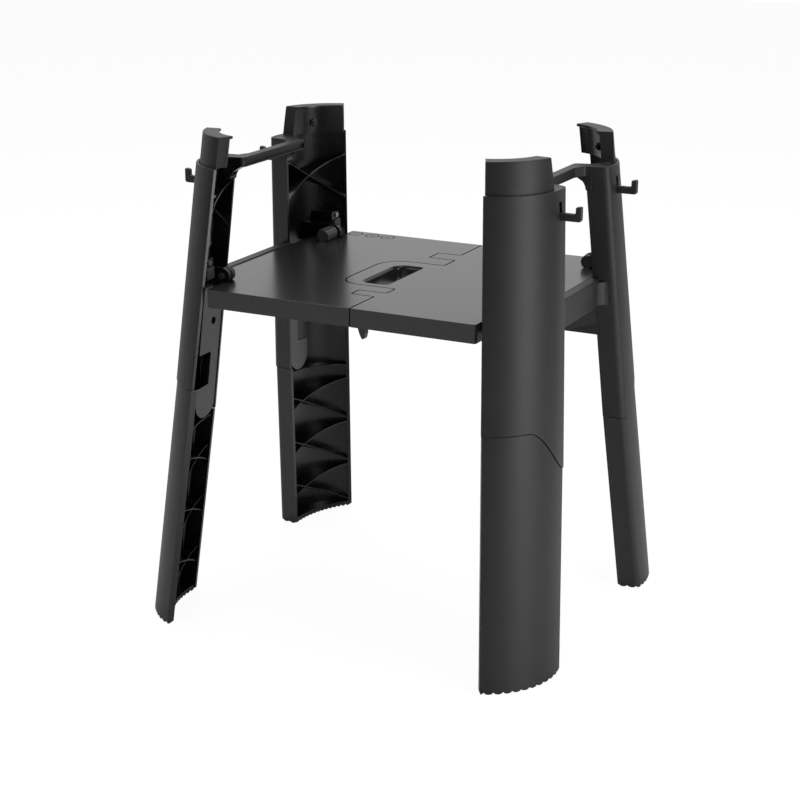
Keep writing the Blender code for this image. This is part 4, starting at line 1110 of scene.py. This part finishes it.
def shelf_side(side):
    """Outer edge of a half from front to back, with the slots for the ears."""
    slot_x = abs(PIVOT_X[side]) - 0.0135
    y0, y1 = LUG_Y[0] - 0.0015, LUG_Y[1] + 0.0015
    quarter = [(HALF_WIDTH - 0.0025, HALF_DEPTH), (HALF_WIDTH - 0.0012, HALF_DEPTH - 0.0005),
               (HALF_WIDTH, HALF_DEPTH - 0.0035), (HALF_WIDTH, y1), (slot_x, y1), (slot_x, y0),
               (0.2275, y0 - 0.001), (0.2370, 0.1405), (0.2405, 0.1305)]
    return [Vector((side * x, -y)) for x, y in quarter] + [Vector((side * x, y)) for x, y in quarter[::-1]]


def painted_shade_pick(path):
    """Chooser of 1 for the faces in the joint between the halves and in the ring marks, which get the
    painted shade, 0 elsewhere.
    """
    def pick(polygon):
        c = polygon.center
        flat = c.xy
        if polygon.normal.z > 0.8:
            return 1 if SHELF_TOP - 0.0012 < c.z < SHELF_TOP - 0.0004 else 0
        if flat.y > 0.178 and flat.x < -0.115 and c.z > SHELF_TOP - 0.0012:
            return 1
        if abs(flat.y) > HALF_DEPTH - 0.0004:
            return 0
        for a, b in zip(path, path[1:]):
            near, part = intersect_point_line(flat, a, b)
            near = a if part < 0 else b if part > 1 else near
            if (flat - near).length < 0.0014:
                return 1
        return 0
    return pick


def shelf_pockets(side, low, high):
    """Blocks that hollow a half out from below, in two columns of four."""
    first, last = (0.0370, 0.1930) if side > 0 else (0.0760, 0.1930)
    middle, half_rib = (first + last) / 2, 0.0012
    pockets = []
    for rows in ((-0.2040, -0.1030), (-0.1000, -0.0010), (0.0020, 0.1000), (0.1030, 0.2040)):
        for a, b in ((first, middle - half_rib), (middle + half_rib, last)):
            pockets.append(box("pocket", (side * a, side * b), rows, (low - 0.01, high - 0.0035)))
    return pockets


def hand_hole(low, high):
    """Blocks that cut the hand hole through the right half, and its sloping rim."""
    left, right, front, back = HOLE
    ring = rounded([(left, front), (right, front), (right, back), (left, back)],
                   [0.0135, 0.0090, 0.0050, 0.0200], 10)
    stops = [(0.0006, high - 0.0060), (-0.0014, high - 0.0022), (-0.0027, high - 0.0008),
             (-0.0036, high + 0.0006)]
    rim = [[(p.x, p.y, z) for p in offset_closed(ring, depth)] for depth, z in stops]
    return [prism("hole", ring, "Z", low - 0.01, high + 0.01), loft("bevel", rim)]


def ring_marks(high):
    """Blocks that cut the ring marks, each with a bar, into the left half."""
    depth, lift = 0.0008, 0.001
    marks = []
    for x in RINGS_X:
        middle = Vector((x, RINGS_Y, high))
        up = Vector((0, 0, 1))
        groove = round_bar("groove", middle - up * depth, middle + up * lift, 0.0112, 48)
        core = round_bar("core", middle - up * (depth + 0.0002), middle + up * 0.002, 0.0095, 48)
        combine(groove, [core], "DIFFERENCE")
        marks.append(groove)
        marks.append(box("mark", (x - 0.0045, x + 0.0045), (RINGS_Y - 0.0010, RINGS_Y + 0.0010),
                         (high - depth, high + lift)))
    return marks


class STAND_OT_shelf(bpy.types.Operator):
    """Builds the shelf's two halves with their joint, handle tongue, hand hole, pockets and barrels"""
    bl_idname = "stand.shelf"
    bl_label = "Shelf halves"

    def execute(self, context):
        sizes = context.scene.stand_sizes
        low, high = SHELF_TOP - SHELF_THICK, SHELF_TOP
        for name, side in SIDES.items():
            plan = joint_path(side * sizes.seam / 2) + shelf_side(side)[::-1]
            parts = [prism("slab", plan, "Z", low, high, sizes.edge, 3, True)]
            cuts = shelf_pockets(side, low, high)
            for turn in (-1, 1):
                parts.append(round_bar("barrel", (PIVOT_X[side], turn * barrel_start(side, turn), PIVOT_Z),
                                       (PIVOT_X[side], turn * BARREL_END, PIVOT_Z), BARREL, 40, 0.0008))
            if side > 0:
                cuts += hand_hole(low, high)
                cuts.append(box("lever_slot", (0.0180, 0.0580), (LEVER_Y - 0.0056, LEVER_Y + 0.0056),
                                (low - 0.01, high - 0.0045)))
            else:
                cuts.append(box("recess", (-0.0480, -0.0100), (LEVER_Y - 0.0065, LEVER_Y + 0.0065),
                                (low - 0.01, low + 0.0185)))
                cuts += ring_marks(high)
            # Material 1 paints shade into the joint's walls and the ring-mark grooves.
            finish("shelf_moulding_" + name, parts, cuts, [shelf_plastic(), painted_shade_plastic()],
                   f"shelf_{name}_half", ["shelf_" + name], painted_shade_pick(joint_path(0.0)))
        return {"FINISHED"}


# ---- corners --------------------------------------------------------------------------------------
class STAND_OT_corners(bpy.types.Operator):
    """Builds the lock buttons with their ridges, the ridged barrels and all the screw heads"""
    bl_idname = "stand.corners"
    bl_label = "Corner controls"

    def execute(self, context):
        sizes = context.scene.stand_sizes
        ridge = repeat_tree("Ridges", [("Ridge radius", 0.0005), ("Ridge length", 0.017)], ridge_item)
        screw = repeat_tree("Screw heads", [("Head radius", sizes.screw_head), ("Head height", 0.002)],
                            screw_item)
        for name, (side, turn) in LEGS.items():
            x, y, low = side * BUTTON_X, turn * sum(BUTTON_Y) / 2, BUTTON_Z[0]
            body = box("body", (x, x + side * 0.0090), [turn * p for p in BUTTON_Y], BUTTON_Z, 0.0007)
            finish("button_" + name, [body], [], [control_plastic()], "button_" + name,
                   ["lock_button_" + name])
            pitch = (BUTTON_Z[1] - low) / (sizes.ridges + 1)
            spots = [((x, y, low + (k + 1) * pitch), (0, 0, 0)) for k in range(sizes.ridges)]
            repeated("button_ridges_" + name, ridge, {"Ridge length": 0.0155, "Ridge radius": 0.00055},
                     spots, "button_" + name, control_plastic())
            start = barrel_start(side, turn)
            middle = turn * (start + BARREL_END) / 2
            spots = []
            for k in range(17):
                a = math.radians(-40 + 260 * k / 16)
                spot = (PIVOT_X[side] + BARREL * math.cos(a), middle, PIVOT_Z + BARREL * math.sin(a))
                spots.append((spot, (0, 0, 0)))
            repeated("barrel_ridges_" + name, ridge,
                     {"Ridge length": BARREL_END - 0.003 - start, "Ridge radius": 0.0005}, spots,
                     f"shelf_{name.split('_')[1]}_half", control_plastic())
        for side_name, side in SIDES.items():
            spots, cap_spots = [], []
            for turn in (-1, 1):
                height = (BUTTON_Z[1] + BOSS_Z[1]) / 2 + 0.0005
                seat = (side * (BOSS_X - 0.0014), turn * sum(BOSS_Y) / 2, height)
                spots.append((seat, facing((-side, 0, 0))))
                seat, inward = wall_frame((side, turn), *LEG_SCREW, 0.0083)
                spots.append((seat + inward * 0.0011, facing(inward)))
                seat, inward = wall_frame((side, turn), *CAP_SCREW)
                cap_spots.append((seat + inward * 0.0284, facing(inward)))
            ends = [end + "_" + side_name for end in ("front", "back")]
            covered = [kind + end for kind in ("lock_screw_", "leg_screw_") for end in ends]
            repeated("screw_heads_" + side_name, screw,
                     {"Head radius": sizes.screw_head, "Head height": 0.0020}, spots, "frame_" + side_name,
                     steel(), covered)
            repeated("cap_screw_heads_" + side_name, screw, {"Head radius": 0.0030, "Head height": 0.0016},
                     cap_spots, "frame_" + side_name, steel("blackened_steel", 0.10),
                     ["cap_screw_" + end for end in ends])
        return {"FINISHED"}


class STAND_OT_lever(bpy.types.Operator):
    """Builds the small hanging lever under the front of the shelf"""
    bl_idname = "stand.lever"
    bl_label = "Release lever"

    def execute(self, context):
        x, z = LEVER_AXIS
        shape = [(x + 0.0050, z - 0.0010), (x + 0.0035, z + 0.0040), (x - 0.0040, z + 0.0050),
                 (x - 0.0240, z + 0.0030), (x - 0.0275, z - 0.0060), (x - 0.0240, z - 0.0165),
                 (x - 0.0205, z - 0.0235), (x - 0.0170, z - 0.0225), (x - 0.0150, z - 0.0150),
                 (x - 0.0145, z - 0.0040), (x + 0.0030, z - 0.0040)]
        radii = [0.002, 0.003, 0.006, 0.006, 0.006, 0.004, 0.0025, 0.0025, 0.006, 0.004, 0.002]
        body = prism("body", rounded(shape, radii, 4), "Y", LEVER_Y - 0.0049, LEVER_Y + 0.0049, 0.0009, 3)
        bore = round_bar("bore", (x, LEVER_Y - 0.010, z), (x, LEVER_Y + 0.010, z), 0.0018)
        finish("lever_moulding", [body], [bore], [control_plastic()], "lever",
               ["release_lever"])
        return {"FINISHED"}


class STAND_OT_fittings(bpy.types.Operator):
    """Gives the pins and springs that keep their own shape their finish"""
    bl_idname = "stand.fittings"
    bl_label = "Pins and springs"

    def execute(self, context):
        for name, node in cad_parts.items():
            if not name.startswith(("hinge_pin", "pivot_pin", "lock_spring", "lever_pin")):
                continue
            made = control_plastic() if name.startswith("pivot_pin") else steel()
            node.data.materials.clear()
            node.data.materials.append(made)
        return {"FINISHED"}


# ---- stage ----------------------------------------------------------------------------------------
def area_light(name, place_at, target, size, power):
    """A rectangular soft light that faces a target."""
    data = bpy.data.lights.new(name, "AREA")
    data.shape = "RECTANGLE"
    data.size, data.size_y = size
    data.energy = power
    lamp = new_object(name, data)
    lamp.location = place_at
    lamp.rotation_euler = (Vector(target) - Vector(place_at)).to_track_quat("-Z", "Y").to_euler()
    return lamp


def studio_world():
    """A white sweep behind the object and a dim room in front of it. The camera sees white all round."""
    world = bpy.data.worlds.new("studio")
    world.use_nodes = True
    nodes, links = world.node_tree.nodes, world.node_tree.links
    sky = nodes["Background"]
    sky.inputs["Color"].default_value = (1, 1, 1, 1)
    where = nodes.new("ShaderNodeTexCoord")
    towards = nodes.new("ShaderNodeVectorMath")
    towards.operation = "DOT_PRODUCT"
    towards.inputs[1].default_value = (-0.455, 0.890, 0.0)
    links.new(where.outputs["Generated"], towards.inputs[0])
    level = nodes.new("ShaderNodeMapRange")
    level.interpolation_type = "SMOOTHSTEP"
    level.inputs["From Min"].default_value = 0.18
    level.inputs["From Max"].default_value = 0.70
    level.inputs["To Min"].default_value = 0.010
    level.inputs["To Max"].default_value = 0.95
    links.new(towards.outputs["Value"], level.inputs["Value"])
    path = nodes.new("ShaderNodeLightPath")
    seen = nodes.new("ShaderNodeMix")
    links.new(path.outputs["Is Camera Ray"], seen.inputs[0])
    links.new(level.outputs["Result"], seen.inputs[2])
    seen.inputs[3].default_value = 1.0
    links.new(seen.outputs[0], sky.inputs["Strength"])
    return world


def floor_white():
    """Pale matte paint, seen by the camera mostly as an even glow that meets the white behind it."""
    paint = bpy.data.materials.new("floor_white")
    paint.use_nodes = True
    nodes, links = paint.node_tree.nodes, paint.node_tree.links
    shader = nodes["Principled BSDF"]
    shader.inputs["Base Color"].default_value = (0.93, 0.93, 0.93, 1)
    shader.inputs["Roughness"].default_value = 0.9
    shader.inputs["Specular IOR Level"].default_value = 0.1
    glow = nodes.new("ShaderNodeEmission")
    glow.inputs["Strength"].default_value = 1.05
    path = nodes.new("ShaderNodeLightPath")
    share = math_node(nodes, "MULTIPLY", 0.90)
    both = nodes.new("ShaderNodeMixShader")
    links.new(path.outputs["Is Camera Ray"], share.inputs[0])
    links.new(share.outputs[0], both.inputs[0])
    links.new(shader.outputs[0], both.inputs[1])
    links.new(glow.outputs[0], both.inputs[2])
    links.new(both.outputs[0], nodes["Material Output"].inputs["Surface"])
    return paint


class STAND_OT_stage(bpy.types.Operator):
    """Sets the pale floor, the soft light and the camera"""
    bl_idname = "stand.stage"
    bl_label = "Stage"

    def execute(self, context):
        mesh = bpy.data.meshes.new("floor")
        reach = 9
        mesh.from_pydata([(x * reach, y * reach, 0) for x, y in ((-1, -1), (1, -1), (1, 1), (-1, 1))], [],
                         [(0, 1, 2, 3)])
        mesh.materials.append(floor_white())
        new_object("floor", mesh)
        context.scene.world = studio_world()
        context.scene.view_settings.view_transform = "Standard"
        area_light("right_box", (2.4, -0.60, 0.75), (0.25, -0.2, 0.35), (0.9, 1.7), 33)
        area_light("front_left_box", (-1.3, -2.6, 1.7), (0, -0.1, 0.35), (1.0, 1.0), 10)
        area_light("top_box", (0.0, 0.4, 3.2), (0, 0, 0), (3.4, 3.0), 95)
        camera = bpy.data.cameras.new("camera")
        camera.lens = 83.533
        camera.sensor_width = 36
        camera.clip_end = 50
        eye = new_object("camera", camera)
        eye.location = (1.15652, -2.28800, 1.10786)
        azimuth, elevation = math.radians(27.0653), math.radians(17.6136)
        level = math.cos(elevation)
        back = Vector((math.sin(azimuth) * level, -math.cos(azimuth) * level, math.sin(elevation)))
        eye.rotation_euler = back.to_track_quat("Z", "Y").to_euler()
        context.scene.camera = eye
        return {"FINISHED"}


class STAND_PT_panel(bpy.types.Panel):
    """Lists the stand's settings and builders"""
    bl_label = "Folding stand"
    bl_idname = "STAND_PT_panel"
    bl_space_type = "VIEW_3D"
    bl_region_type = "UI"
    bl_category = "Stand"

    def draw(self, context):
        for group in (context.scene.stand_sizes, context.scene.stand_finish):
            for name in group.bl_rna.properties.keys():
                if name not in ("rna_type", "name"):
                    self.layout.prop(group, name)
        for builder in BUILDERS:
            self.layout.operator(builder.bl_idname)


BUILDERS = (STAND_OT_frames, STAND_OT_lower_legs, STAND_OT_caps, STAND_OT_hooks, STAND_OT_shelf,
            STAND_OT_corners, STAND_OT_lever, STAND_OT_fittings, STAND_OT_stage)
CLASSES = (StandFinish, StandSizes) + BUILDERS + (STAND_PT_panel,)


def register():
    for made in CLASSES:
        bpy.utils.register_class(made)
    bpy.types.Scene.stand_finish = PointerProperty(type=StandFinish)
    bpy.types.Scene.stand_sizes = PointerProperty(type=StandSizes)


def unregister():
    del bpy.types.Scene.stand_sizes
    del bpy.types.Scene.stand_finish
    for made in reversed(CLASSES):
        bpy.utils.unregister_class(made)


def main():
    register()
    for builder in BUILDERS:
        group, name = builder.bl_idname.split(".")
        getattr(getattr(bpy.ops, group), name)()


if __name__ == "__main__":
    main()
